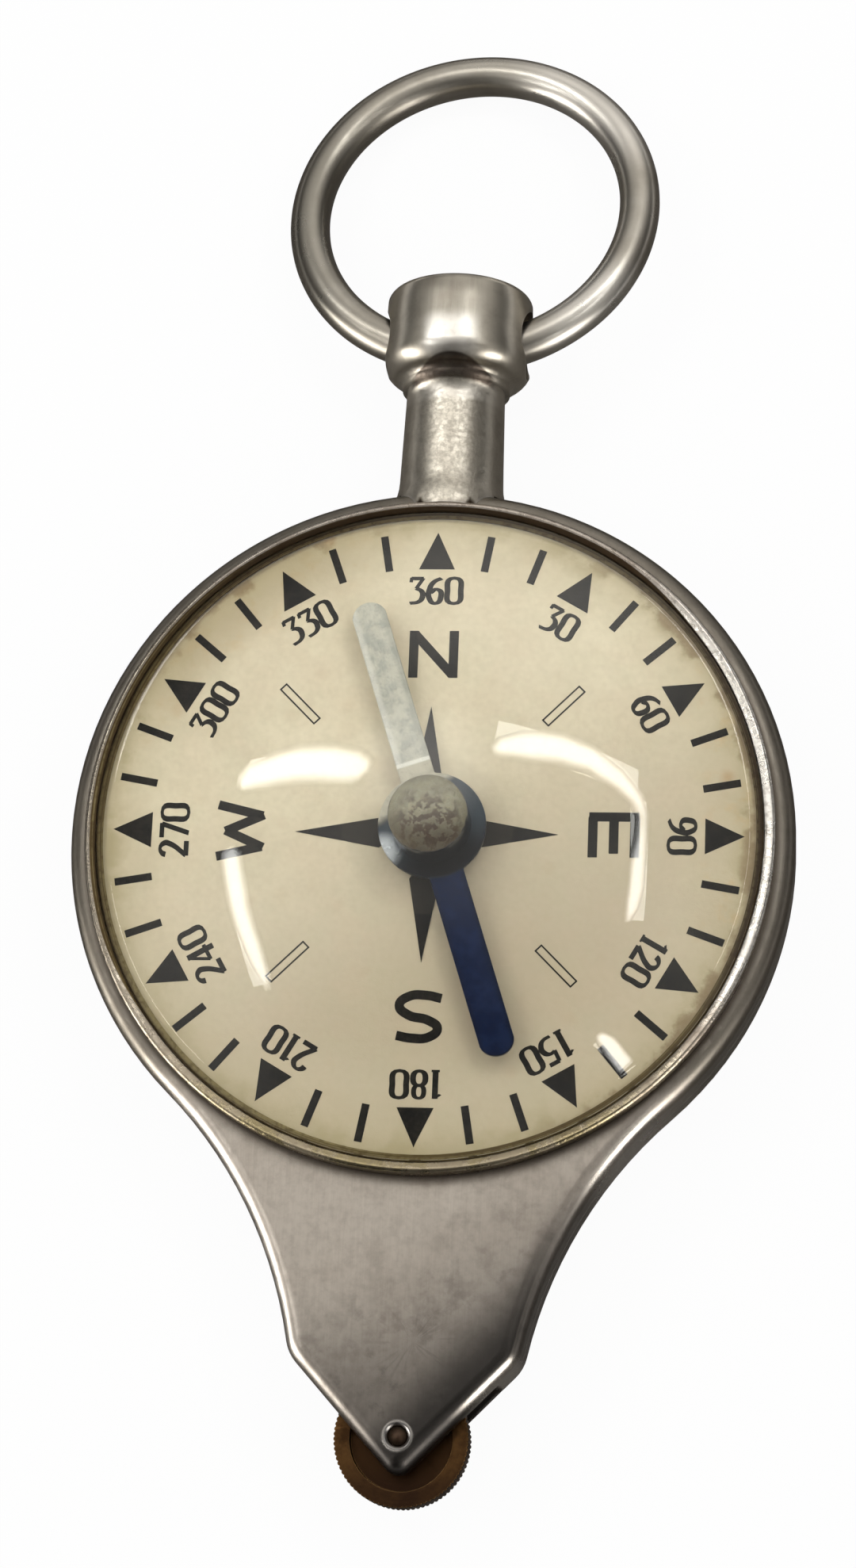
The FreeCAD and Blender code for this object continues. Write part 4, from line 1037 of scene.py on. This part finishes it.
# %% Finish: aged card
def aged_card(name, face, middle, rim, reach):
    material, tree, shader = new_material(name, Roughness=0.75, Specular_IOR_Level=0.25)
    point = place(tree)
    x, y, _ = parts_of(point)
    radius = from_axis(point)
    fibres = patchy(point, 0.3, 0.3, 0.75)
    mottle = patchy(point, 1.7, 0.42, 0.66)
    stains = patchy(point, 1.1, 0.5, 0.7)
    foxing = use(tree, SPOTS, point=point, size=1.3, share=0.2, reach=0.4)
    # Painted shade: the card darkens towards the wheel and the lower right.
    shade_towards_wheel = eased(x * 0.5 - y, -7.0, 9.0) * eased(radius, 14.0, 9.0, 0.6, 1.0)
    by_the_rim = eased(radius, reach - 3.2, reach - 0.6)
    right_side = eased(x, 10.0, 13.6) * eased(y, -9.0, -2.0)
    upper_left = eased(x, 0.0, -7.0) * eased(y, 3.0, 8.0)
    stained = either(right_side, upper_left) * by_the_rim
    wavy = radius + mottle * 0.5
    edge_line = eased(wavy, reach - 0.35, reach + 0.15) * either(eased(x, 4.0, 10.0), upper_left)
    colour = coated(
        over(patchy(point, 6.0, 0.35, 0.7) * 0.2, face, middle),
        (shade_towards_wheel * 0.85, middle),
        (mottle * 0.2, tone(0.55, 0.52, 0.36)),
        (patchy(point, 2.6, 0.45, 0.62) * 0.16, tone(0.66, 0.52, 0.38)),
        (stained * stains * 0.55, tone(0.66, 0.40, 0.16)),
        (upper_left * by_the_rim * 0.7, tone(0.43, 0.35, 0.23)),
        (by_the_rim * 0.3, rim),
        (eased(wavy, reach - 1.1, reach + 0.5), rim),
        (edge_line * 0.6, tone(0.17, 0.095, 0.04)),
        (foxing * (stained * 0.5 + 0.1), tone(0.42, 0.22, 0.08)),
        (fibres * 0.17, tone(0.45, 0.38, 0.24)),
    )
    feed(shader, Base_Color=colour, Normal=bump(fibres, 0.006))
    return material


COMPASS_CARD = aged_card(
    "compass_card", tone(0.79, 0.71, 0.535), tone(0.52, 0.44, 0.32), tone(0.45, 0.38, 0.23), LEDGE_INNER
)
SCALE_CARD = aged_card(
    "scale_card", tone(0.77, 0.69, 0.50), tone(0.73, 0.63, 0.44), tone(0.62, 0.50, 0.28), MEASURING_RIM_INNER
)

# %% Compass card
EMBOSS_RADIUS = 3.7
EMBOSS_RISE = 0.03
EMBOSS_SIDE = 0.14  # from the crest of the ring to its foot
PIVOT_HOLE = 0.9
ARBOR_HOLE = 0.9
low, high = measured("compass_dial")
mesh = turned([
    (PIVOT_HOLE, low.z),
    (LEDGE_INNER, low.z),
    (LEDGE_INNER, high.z - EMBOSS_RISE),
    (EMBOSS_RADIUS + EMBOSS_SIDE, high.z - EMBOSS_RISE),
    (EMBOSS_RADIUS, high.z),
    (EMBOSS_RADIUS - EMBOSS_SIDE, high.z - EMBOSS_RISE),
    (PIVOT_HOLE, high.z - EMBOSS_RISE),
])
PRINT_LEVEL = high.z - EMBOSS_RISE
finished("compass_card", mesh, "case", COMPASS_CARD, ["compass_dial"])

# %% Measuring card
low, high = measured("measuring_dial")
mesh = turned([(ARBOR_HOLE, low.z), (high.x, low.z), (high.x, high.z), (ARBOR_HOLE, high.z)])
SCALE_LEVEL = low.z
finished("measuring_card", mesh, "case", SCALE_CARD, ["measuring_dial"])

# %% [markdown]
# ## Numbers and letters
#
# The figures on the card are pen-drawn, thick where a stroke runs down and thin where it runs
# across. Blender's built-in font has one even weight, so each figure is drawn here as a pen would
# draw it: a few strokes, each a Bezier curve with a round bevel. The curve is drawn in a space that
# is stretched upwards and then pressed flat again, which thins only the strokes that run across.
# The letters of the compass have even strokes, so they skip the stretch.

# %% Strokes of the figures
def straight(weight, *points):
    """A stroke is its weight, whether it is smooth, whether it is closed, and its points."""
    return weight, False, False, points


def curved(weight, *points):
    return weight, True, False, points


def looped(weight, *points):
    return weight, True, True, points


# Each figure has a width and its strokes. It is one unit high and stands on the X axis.
FIGURES = {
    "0": (0.64, [looped(1.0, (0.32, 0.96), (0.09, 0.5), (0.32, 0.04), (0.55, 0.5))]),
    "1": (0.44, [
        straight(1.0, (0.24, 0.0), (0.24, 0.97)),
        straight(0.6, (0.26, 0.95), (0.06, 0.82)),
        straight(0.7, (0.1, 0.03), (0.38, 0.03)),
    ]),
    "2": (0.58, [
        curved(1.0, (0.07, 0.76), (0.15, 0.91), (0.3, 0.96), (0.47, 0.84), (0.45, 0.62), (0.07, 0.07)),
        straight(1.5, (0.04, 0.06), (0.56, 0.06)),
    ]),
    "3": (0.56, [
        straight(1.1, (0.07, 0.94), (0.5, 0.94)),
        straight(0.6, (0.08, 0.97), (0.06, 0.8)),
        straight(0.7, (0.49, 0.95), (0.25, 0.58)),
        curved(1.0, (0.25, 0.58), (0.42, 0.5), (0.48, 0.3), (0.34, 0.09), (0.04, 0.04)),
    ]),
    "4": (0.64, [
        straight(0.6, (0.43, 0.97), (0.05, 0.29)),
        straight(1.2, (0.03, 0.28), (0.6, 0.28)),
        straight(1.0, (0.43, 0.97), (0.43, 0.0)),
    ]),
    "5": (0.57, [
        straight(1.3, (0.13, 0.94), (0.5, 0.94)),
        straight(0.7, (0.14, 0.95), (0.12, 0.55)),
        curved(1.0, (0.12, 0.57), (0.3, 0.6), (0.47, 0.46), (0.46, 0.22), (0.3, 0.07), (0.04, 0.05)),
    ]),
    "6": (0.6, [curved(
        1.0, (0.52, 0.95), (0.28, 0.84), (0.11, 0.56), (0.12, 0.2), (0.31, 0.04), (0.51, 0.26),
        (0.36, 0.55), (0.14, 0.42),
    )]),
    "7": (0.58, [
        straight(1.4, (0.05, 0.93), (0.56, 0.93)),
        straight(0.9, (0.53, 0.93), (0.22, 0.0)),
    ]),
    "8": (0.6, [
        looped(0.85, (0.3, 0.96), (0.13, 0.76), (0.3, 0.53), (0.47, 0.76)),
        looped(1.0, (0.3, 0.53), (0.09, 0.28), (0.3, 0.04), (0.51, 0.28)),
    ]),
}
width, [(weight, smooth, closed, points)] = FIGURES["6"]
FIGURES["9"] = (width, [curved(weight, *[(width - x, 1 - y) for x, y in points])])
print("figures drawn:", "".join(sorted(FIGURES)))

# %% Strokes of the compass letters
LETTERS = {
    "N": (0.98, [
        straight(1.0, (0.08, 0.0), (0.08, 1.0)),
        straight(1.0, (0.1, 0.93), (0.88, 0.07)),
        straight(1.0, (0.9, 0.0), (0.9, 1.0)),
    ]),
    "E": (0.92, [
        straight(1.0, (0.08, 0.0), (0.08, 1.0)),
        straight(1.0, (0.08, 0.92), (0.92, 0.92)),
        straight(1.0, (0.08, 0.5), (0.84, 0.5)),
        straight(1.0, (0.08, 0.08), (0.92, 0.08)),
    ]),
    "S": (0.96, [curved(
        1.0, (0.92, 0.88), (0.62, 0.93), (0.26, 0.9), (0.1, 0.73), (0.28, 0.57), (0.7, 0.46),
        (0.88, 0.27), (0.7, 0.09), (0.34, 0.06), (0.04, 0.12),
    )]),
    "W": (1.2, [
        straight(1.0, (0.06, 0.98), (0.28, 0.06)),
        straight(1.0, (0.26, 0.04), (0.61, 0.82)),
        straight(1.0, (0.59, 0.82), (0.94, 0.04)),
        straight(1.0, (0.92, 0.06), (1.14, 0.98)),
    ]),
}
print("letters drawn:", "".join(LETTERS))

# %% Writing with a pen
INK_HEIGHT = 0.012  # millimetres that the ink stands over the card


def pen_stroke(points, width, smooth, closed):
    """A mesh of one stroke, drawn with a round pen."""
    curve = bpy.data.curves.new("stroke", "CURVE")
    curve.dimensions = "3D"
    curve.resolution_u = 6
    curve.bevel_depth = width / 2
    curve.bevel_resolution = 1
    curve.use_fill_caps = True
    spline = curve.splines.new("BEZIER")
    spline.bezier_points.add(len(points) - 1)
    for knot, (x, y) in zip(spline.bezier_points, points):
        knot.co = (x, y, 0)
        knot.handle_left_type = knot.handle_right_type = "AUTO" if smooth else "VECTOR"
    spline.use_cyclic_u = closed
    holder = bpy.data.objects.new("stroke", curve)
    data = bpy.data.meshes.new_from_object(holder)
    bpy.data.objects.remove(holder)
    bpy.data.curves.remove(curve)
    return data


def write(mesh, drawings, text, height, stretch, weight, spacing, to_place):
    """Writes text into a bmesh, centred on the origin of to_place, in millimetres."""
    total = sum(drawings[mark][0] for mark in text) + spacing * (len(text) - 1)
    start = -total / 2
    press = Matrix.Diagonal((height, height / stretch, INK_HEIGHT / weight)).to_4x4()
    for mark in text:
        width, strokes = drawings[mark]
        for thickness, smooth, closed, points in strokes:
            stretched = [(start + x, (y - 0.5) * stretch) for x, y in points]
            data = pen_stroke(stretched, weight * thickness, smooth, closed)
            data.transform(to_place @ press)
            mesh.from_mesh(data)
            bpy.data.meshes.remove(data)
        start += width + spacing


def on_dial(radius, degrees, level):
    """A place on the dial: up is outwards, and degrees run clockwise from the stem."""
    turn = Matrix.Rotation(math.radians(-degrees), 4, "Z")
    return turn @ Matrix.Translation((0, radius, level))


# The compass card was printed a little off its centre and glued in a little turned.
PRINT_SHIFT = (-0.046, -0.103, 0.0)
PRINT_TURN = 0.61
OFF_CENTRE = Matrix.Translation(PRINT_SHIFT) @ Matrix.Rotation(math.radians(PRINT_TURN), 4, "Z")
print("printing off its centre by", PRINT_SHIFT[:2], "mm, turned by", PRINT_TURN, "degrees")

# %% [markdown]
# ## Marks of the compass card
#
# Twelve filled triangles point outwards, one every 30 degrees, with two ticks between each pair.
# Four hollow bars stand between the letters, and a four-pointed star surrounds the pivot. Each mark
# is one small shape, made once by a bmesh operator and repeated round the dial by a loop, so that a
# change to the shape changes them all. The ink has a little thickness, which keeps it from
# flickering against the card.

# %% Finish: printing ink
def ink(name, dark, faded):
    material, tree, shader = new_material(name, Roughness=0.7, Specular_IOR_Level=0.15)
    point = place(tree)
    radius = from_axis(point)
    fibres = patchy(point, 0.2, 0.38, 0.75)
    inner_star = eased(radius, 3.9, 3.4) * 0.8
    on_ridge = eased(abs(radius - EMBOSS_RADIUS), 0.12, 0.02)
    thin = (fibres + patchy(point, 1.2, 0.4, 0.75)) * 0.5 + (inner_star + on_ridge * 1.4)
    colour = over(calc("MINIMUM", thin, 2.0), dark, faded)
    feed(shader, Base_Color=colour, Normal=bump(fibres, 0.004))
    return material


INK = ink("ink", tone(0.004, 0.0035, 0.003), tone(0.024, 0.02, 0.015))

# %% Shapes of the marks
TRIANGLE_TIP = 14.02
TRIANGLE_HEIGHT = 1.72
TRIANGLE_BASE = 1.62
TICK_OUTER = 14.03
TICK_LENGTH = 1.66
TICK_WIDTH = 0.34
BAR_MIDDLE = 8.38
BAR_LENGTH = 2.3
BAR_WIDTH = 0.43
BAR_LINE = 0.1
STAR_TIP = 5.85
STAR_SHOULDER = 2.1
STAR_HALF_WIDTH = 0.68
STAR_ROOT = 1.0
STAR_HEIGHT = 2 * EMBOSS_RISE + INK_HEIGHT  # the star's ink climbs over the embossed ring


def extruded(mesh, height):
    """Gives a flat shape a thickness, from below its plane to above it."""
    bmesh.ops.translate(mesh, vec=(0, 0, -height / 2), verts=mesh.verts)
    top = bmesh.ops.extrude_face_region(mesh, geom=mesh.faces[:])["geom"]
    raised = [item for item in top if isinstance(item, bmesh.types.BMVert)]
    bmesh.ops.translate(mesh, vec=(0, 0, height), verts=raised)
    return joined(mesh)


def triangle():
    mesh = bmesh.new()
    bmesh.ops.create_circle(mesh, cap_ends=True, segments=3, radius=1)
    low = min(vert.co.y for vert in mesh.verts)
    bmesh.ops.translate(mesh, vec=(0, -low, 0), verts=mesh.verts)
    wide = max(vert.co.x for vert in mesh.verts) * 2
    tall = max(vert.co.y for vert in mesh.verts)
    sizes = (TRIANGLE_BASE / wide, TRIANGLE_HEIGHT / tall, 1)
    bmesh.ops.scale(mesh, vec=sizes, verts=mesh.verts)
    return extruded(mesh, INK_HEIGHT)


def tick(width, length):
    mesh = bmesh.new()
    bmesh.ops.create_grid(mesh, x_segments=1, y_segments=1, size=0.5)
    bmesh.ops.scale(mesh, vec=(width, length, 1), verts=mesh.verts)
    return extruded(mesh, INK_HEIGHT)


def hollow_bar():
    mesh = bmesh.new()
    bmesh.ops.create_grid(mesh, x_segments=1, y_segments=1, size=0.5)
    bmesh.ops.scale(mesh, vec=(BAR_WIDTH, BAR_LENGTH, 1), verts=mesh.verts)
    inside = mesh.faces[:]
    bmesh.ops.inset_region(mesh, faces=inside, thickness=BAR_LINE, use_boundary=True)
    bmesh.ops.delete(mesh, geom=inside, context="FACES")
    return extruded(mesh, INK_HEIGHT)


def star_point():
    mesh = bmesh.new()
    bmesh.ops.create_circle(mesh, cap_ends=True, segments=4, radius=1)
    reach = {1: STAR_TIP - STAR_SHOULDER, -1: STAR_SHOULDER - STAR_ROOT}
    for vert in mesh.verts:
        across, along = round(vert.co.x), round(vert.co.y)
        vert.co = (across * STAR_HALF_WIDTH, STAR_SHOULDER + reach.get(along, 0) * along, 0)
    return extruded(mesh, STAR_HEIGHT)


def stamp(mesh, mark, to_place):
    """Adds a copy of a mark to the printing."""
    data = bpy.data.meshes.new("mark")
    mark.to_mesh(data)
    data.transform(to_place)
    mesh.from_mesh(data)
    bpy.data.meshes.remove(data)


arrow, line, bar, point = triangle(), tick(TICK_WIDTH, TICK_LENGTH), hollow_bar(), star_point()
print("faces of each mark:", [len(mark.faces) for mark in (arrow, line, bar, point)])

# %% Printing of the compass card
FIGURE_HEIGHT = 1.3
FIGURE_RADIUS = 11.29
FIGURE_WEIGHT = 0.2  # thickness of a down stroke, as a share of the height
PEN_STRETCH = 1.75  # how much thinner a stroke across is
NO_STRETCH = 1.0
LETTER_HEIGHT = 2.2
LETTER_RADIUS = 8.3
LETTER_WEIGHT = 0.19
FIGURE_GAP = 0.045  # between two figures of a number, as a share of their height
INK_LEVEL = PRINT_LEVEL + INK_HEIGHT / 2
TICK_MIDDLE = TICK_OUTER - TICK_LENGTH / 2

printing = bmesh.new()
for hour in range(12):
    degrees = 30 * hour
    stamp(printing, arrow, OFF_CENTRE @ on_dial(TRIANGLE_TIP - TRIANGLE_HEIGHT, degrees, INK_LEVEL))
    for between in (10, 20):
        stamp(printing, line, OFF_CENTRE @ on_dial(TICK_MIDDLE, degrees + between, INK_LEVEL))
    text = str(degrees or 360)
    spot = OFF_CENTRE @ on_dial(FIGURE_RADIUS, degrees, INK_LEVEL)
    write(printing, FIGURES, text, FIGURE_HEIGHT, PEN_STRETCH, FIGURE_WEIGHT, FIGURE_GAP, spot)
for quarter, letter in enumerate("NESW"):
    spot = OFF_CENTRE @ on_dial(LETTER_RADIUS, 90 * quarter, INK_LEVEL)
    write(printing, LETTERS, letter, LETTER_HEIGHT, NO_STRETCH, LETTER_WEIGHT, 0.0, spot)
    stamp(printing, bar, OFF_CENTRE @ on_dial(BAR_MIDDLE, 90 * quarter + 45, INK_LEVEL))
    stamp(printing, point, OFF_CENTRE @ on_dial(0, 90 * quarter, PRINT_LEVEL))
finished("compass_printing", printing, "case", INK)

# %% [markdown]
# ## Marks of the measuring card
#
# One turn of the hand is one metre on the map, so the outer scale runs from 0 to 100 centimetres
# and the inner one to a little over 39 inches. The card faces down, so the whole printing is made
# as seen from above and then turned over round the Y axis, which keeps its figures readable from
# below. The inner scale is brick red, a common way to keep two scales apart.

# %% Printing of the measuring card
METRE_IN_CM = 100
METRE_IN_INCHES = 39.37
CM_RADIUS = 13.6
INCH_RADIUS = 8.2
OVER = Matrix.Rotation(math.pi, 4, "Y")
RED_INK = ink("red_ink", tone(0.30, 0.035, 0.022), tone(0.40, 0.10, 0.06))
LONG_TICK = (0.16, 1.3)  # width and length
SHORT_TICK = (0.09, 0.75)
FIGURE_SPACE = 0.15  # between a long tick and the figure under it
SCALE_FIGURE_GAP = 0.06
CIRCLE_WIDTH = 0.07


def scale_printing(name, material, outer, count, turn_share, figure_every, tick_every, figure_height):
    """A ring of ticks and figures, read clockwise from below. A step is turn_share of a turn."""
    printing = bmesh.new()
    shapes = {True: (tick(*LONG_TICK), LONG_TICK[1]), False: (tick(*SHORT_TICK), SHORT_TICK[1])}
    figure_radius = outer - LONG_TICK[1] - FIGURE_SPACE - figure_height / 2
    level = INK_HEIGHT / 2 - SCALE_LEVEL
    for mark in range(count):
        degrees = 360 * turn_share * mark
        shape, length = shapes[mark % tick_every == 0]
        stamp(printing, shape, OVER @ on_dial(outer - length / 2, degrees, level))
        if mark % figure_every == 0:
            spot = OVER @ on_dial(figure_radius, degrees, level)
            write(
                printing, FIGURES, str(mark), figure_height, PEN_STRETCH, FIGURE_WEIGHT,
                SCALE_FIGURE_GAP, spot,
            )
    inside, outside = outer - CIRCLE_WIDTH / 2, outer + CIRCLE_WIDTH / 2
    low, high = SCALE_LEVEL - INK_HEIGHT, SCALE_LEVEL
    circle = turned([(inside, low), (outside, low), (outside, high), (inside, high)], steps=120)
    stamp(printing, circle, Matrix.Identity(4))
    circle.free()
    finished(name, printing, "case", material)


scale_printing(
    "centimetre_scale", INK, CM_RADIUS, count=100, turn_share=1 / METRE_IN_CM,
    figure_every=10, tick_every=5, figure_height=1.5,
)
scale_printing(
    "inch_scale", RED_INK, INCH_RADIUS, count=40, turn_share=1 / METRE_IN_INCHES,
    figure_every=3, tick_every=3, figure_height=0.95,
)

# %% [markdown]
# ## Needle
#
# The needle is a blued steel strip with a round boss. Its north arm has silver paint, brushed on by
# hand: it is mottled and stops in a straight line at the boss, where a thinner coat goes on. The
# paint's left edge carries a painted highlight and its right edge painted shade. The south arm keeps
# its blue; the boss is painted darker on that side, as shade, and has a painted glint at its lower
# left. The shape is the construction's, with its edges broken, and the paint is a mask along the
# needle. Moving the pattern's coordinates to the pivot and turning them by the needle's bearing makes
# that mask a simple range.

# %% Finish: half painted needle
PIVOT = (0.3, 0.0, 0.0)
NEEDLE_BEARING = -18.95  # degrees clockwise from the stem
PAINT_START = 2.9  # millimetres from the pivot
BRIGHT_SPOT = (-1.8, -1.25, 0.0)  # the middle of a painted glint on the boss
THIN_COAT = 1.2  # how far from the pivot the thin coat starts


def needle_finish():
    material, tree, shader = new_material("needle")
    point = place(tree, centre=PIVOT, turn=NEEDLE_BEARING)
    across, along, _ = parts_of(point)
    streaks = lined(point, (3.5, 1.1, 3.0))
    patches = patchy(point, 0.7, 0.4, 0.66)
    flecks = patchy(point, 0.3, 0.5, 0.7)
    silver = coated(
        over(patches, tone(0.54, 0.53, 0.45), tone(0.38, 0.385, 0.34)),
        (eased(streaks, 0.45, 0.65) * 0.35, tone(0.62, 0.61, 0.53)),
        (flecks * 0.35, tone(0.27, 0.28, 0.245)),
        # A painted highlight along the paint's left edge, and painted shade along its right.
        (eased(across, -0.4, -0.62) * 0.5, tone(0.72, 0.71, 0.65)),
        (eased(across, 0.42, 0.66) * 0.5, tone(0.30, 0.30, 0.26)),
        (eased(abs(along - (PAINT_START + 0.1)), 0.14, 0.05) * 0.7, tone(0.88, 0.87, 0.80)),
    )
    boss = eased(from_axis(point), 2.5, 2.3)
    from_glint = from_axis(place(tree, centre=BRIGHT_SPOT))
    glint = eased(from_glint, 1.0, 0.3) * eased(flecks, 0.0, 1.0, 0.6, 1.0)
    coat = eased(along - across * 0.3, THIN_COAT, THIN_COAT + 0.5)
    painted = eased(along, PAINT_START - 0.05, PAINT_START + 0.05)
    colour = coated(
        over(patches, tone(0.006, 0.014, 0.048), tone(0.010, 0.021, 0.066)),
        (eased(abs(across), 0.5, 0.76) * 0.6, tone(0.008, 0.012, 0.03)),
        (boss * 0.9, tone(0.045, 0.058, 0.07)),
        # Painted shade on the boss, on the side of the south arm.
        (boss * eased(along, -0.2, -1.8, 0.0, 0.9), tone(0.007, 0.007, 0.009)),
        (glint, tone(0.88, 0.94, 1.0)),
        (coat, over(patches, tone(0.50, 0.47, 0.37), tone(0.38, 0.355, 0.275))),
        (painted, silver),
    )
    covered = either(either(painted, coat), glint)
    rough = eased(covered, 0.0, 1.0, 0.28, 0.5)
    metal = eased(covered, 0.0, 1.0, 1.0, 0.15)
    height = (streaks + patches) * (covered + 0.1)
    feed(shader, Base_Color=colour, Roughness=rough, Metallic=metal, Normal=bump(height, 0.03))
    return material


mesh = copied("needle_blade", width=0.06)
finished(
    "needle_blade_painted", mesh, "needle", needle_finish(), ["needle_blade"], even=True
)

# %% [markdown]
# ## Cap and jewel
#
# A tall cap sits on the boss and holds a small ruby, which rides on the steel pivot. Its wall was
# blued with the needle and is still glossy. Its brass top has never been polished: it is khaki,
# swirled with brown on the side towards the wheel. The cap is a merged copy, and its finish is two
# metals divided by height.

# %% Finish: cap with a stained brass top
CAP_SHOULDER = 9.12  # the height at which the blued wall ends, in millimetres
CAP_STAIN = (0.45, -0.5, 0.0)  # the middle of the brown stain


def cap_brass():
    material, tree, shader = new_material("cap_brass")
    point = place(tree, centre=PIVOT)
    _, y, z = parts_of(point)
    clouds = patchy(point, 0.8, 0.42, 0.64)
    fine = patchy(point, 0.25, 0.42, 0.62)
    swirls = patchy(point, 0.36, 0.46, 0.54)
    from_stain = from_axis(place(tree, centre=CAP_STAIN))
    stained = eased(from_stain - clouds * 0.35, 1.5, 0.6) * eased(swirls, 0.0, 1.0, 1.0, 0.05)
    top = coated(
        over(clouds, tone(0.29, 0.27, 0.175), tone(0.21, 0.195, 0.13)),
        (fine * 0.3, tone(0.34, 0.33, 0.26)),
        (eased(y, 0.3, -1.3, 0.0, 0.75), tone(0.085, 0.06, 0.034)),
        (stained * 0.85, tone(0.05, 0.024, 0.01)),
    )
    wall = over(clouds, tone(0.035, 0.05, 0.08), tone(0.06, 0.075, 0.10))
    on_top = eased(z + clouds * 0.06, CAP_SHOULDER - 0.05, CAP_SHOULDER + 0.05)
    rough = eased(on_top, 0.0, 1.0, 0.16, 0.36 + clouds * 0.12)
    metal = eased(on_top, 0.0, 1.0, 1.0, 0.55)
    height = (fine + use(tree, RINGS, point=point, rings=5.0) * 0.4) * eased(on_top, 0.0, 1.0, 0.2, 1.0)
    colour = over(on_top, wall, top)
    feed(shader, Base_Color=colour, Roughness=rough, Metallic=metal, Normal=bump(height, 0.02))
    return material


mesh = copied("needle_cap", width=0.06)
finished("needle_cap_aged", mesh, "needle", cap_brass(), ["needle_cap"], even=True)

# %% [markdown]
# ## Tracing wheel
#
# The wheel's brass has gone dark brown, darkest in the recessed web, and stays lighter on the rim
# and on the tips of its knurls, which roll on the paper. The `rubbed_edges` group finds those tips by
# itself, which would be slow to paint by hand. The half of the wheel away from the case is painted
# darker still, as shade.

# %% Finish: patinated brass
def wheel_brass():
    material, tree, shader = new_material("wheel_brass", Metallic=1.0)
    low, high = measured("tracing_wheel")
    point = place(tree, centre=(low + high) / 2)
    rings = use(tree, RINGS, point=point, rings=6.0)
    clouds = patchy(point, 0.9, 0.4, 0.68)
    colour = coated(
        over(clouds, tone(0.14, 0.072, 0.027), tone(0.06, 0.03, 0.013)),
        (eased(from_axis(point), 2.35, 2.1), tone(0.055, 0.028, 0.013)),
        # Painted shade on the half of the wheel away from the case.
        (eased(parts_of(point)[1], -0.8, -2.4, 0.0, 0.7), tone(0.035, 0.018, 0.012)),
        (use(tree, RUBBED, width=0.08) * 0.4, tone(0.34, 0.21, 0.08)),
    )
    feed(shader, Base_Color=colour, Roughness=0.3 + clouds * 0.15, Normal=bump(rings, 0.008))
    return material


mesh = copied("tracing_wheel", width=0.03)
finished(
    "tracing_wheel_aged", mesh, "tracer", wheel_brass(), ["tracing_wheel"], even=True
)

# %% [markdown]
# ## Small brass and steel parts
#
# The bushes, the hand and its collet are seen up close from the tip or from below, so they get the
# same care. The bush on the compass side has dulled to the grey of steel. The movement inside the
# case keeps the meshes of the construction, with turned brass and steel finishes, so it looks right
# if the case is opened.

# %% Finishes: turned metal
def turned_metal(name, bright, dull, roughness, rings_per_mm=6.0):
    material, tree, shader = new_material(name, Metallic=1.0)
    point = place(tree)
    rings = use(tree, RINGS, point=point, rings=rings_per_mm)
    colour = coated(
        over(patchy(point, 1.2, 0.4, 0.7), bright, dull),
        # Dirt and painted shade in the corners.
        (use(tree, DIRT_AND_SHADE, reach=0.4), tone(0.06, 0.045, 0.03)),
    )
    feed(shader, Base_Color=colour, Roughness=roughness + rings * 0.12, Normal=bump(rings, 0.004))
    return material


BRASS = turned_metal("brass", tone(0.66, 0.49, 0.22), tone(0.48, 0.33, 0.13), roughness=0.22)
STEEL = turned_metal("steel", tone(0.42, 0.41, 0.40), tone(0.24, 0.22, 0.2), roughness=0.25)
HAND_STEEL = turned_metal(
    "hand_steel", tone(0.02, 0.035, 0.12), tone(0.035, 0.03, 0.06), roughness=0.22, rings_per_mm=3.0
)
OILED_STEEL = turned_metal("oiled_steel", tone(0.12, 0.075, 0.05), tone(0.06, 0.04, 0.03), roughness=0.4)
RUBY = new_material(
    "ruby", Base_Color=tone(0.6, 0.02, 0.06), Roughness=0.05, IOR=1.76, Transmission_Weight=0.7
)[0]

# %% Pieces of turned metal
SHOWN_METAL = {
    "compass_pivot": ("case", "steel", STEEL, 0.0),
    "front_bush": ("case", "brass", STEEL, 0.03),
    "back_bush": ("case", "brass", BRASS, 0.03),
    "tracer_pinion": ("tracer", "steel", OILED_STEEL, 0.0),
    "measuring_hand": ("hand", "hand_steel", HAND_STEEL, 0.02),
    "hand_collet": ("hand", "brass", BRASS, 0.04),
}
for node, (body, slot, material, width) in SHOWN_METAL.items():
    finished(f"{node}_finished", copied(node, width), body, material, [node], even=True)

INSIDE = {
    "needle_jewel": RUBY,
    "stem_nut": BRASS,
    "movement_bridge": BRASS,
    "bridge_pillars": BRASS,
    "bridge_screws": STEEL,
    "centre_bush": BRASS,
    "first_wheel": BRASS,
    "first_pinion": STEEL,
    "second_wheel": BRASS,
    "second_pinion": STEEL,
    "centre_wheel": BRASS,
    "centre_arbor": STEEL,
}
for node, material in INSIDE.items():
    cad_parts[node].material_slots[0].material = material
print("parts left as built:", len(INSIDE))
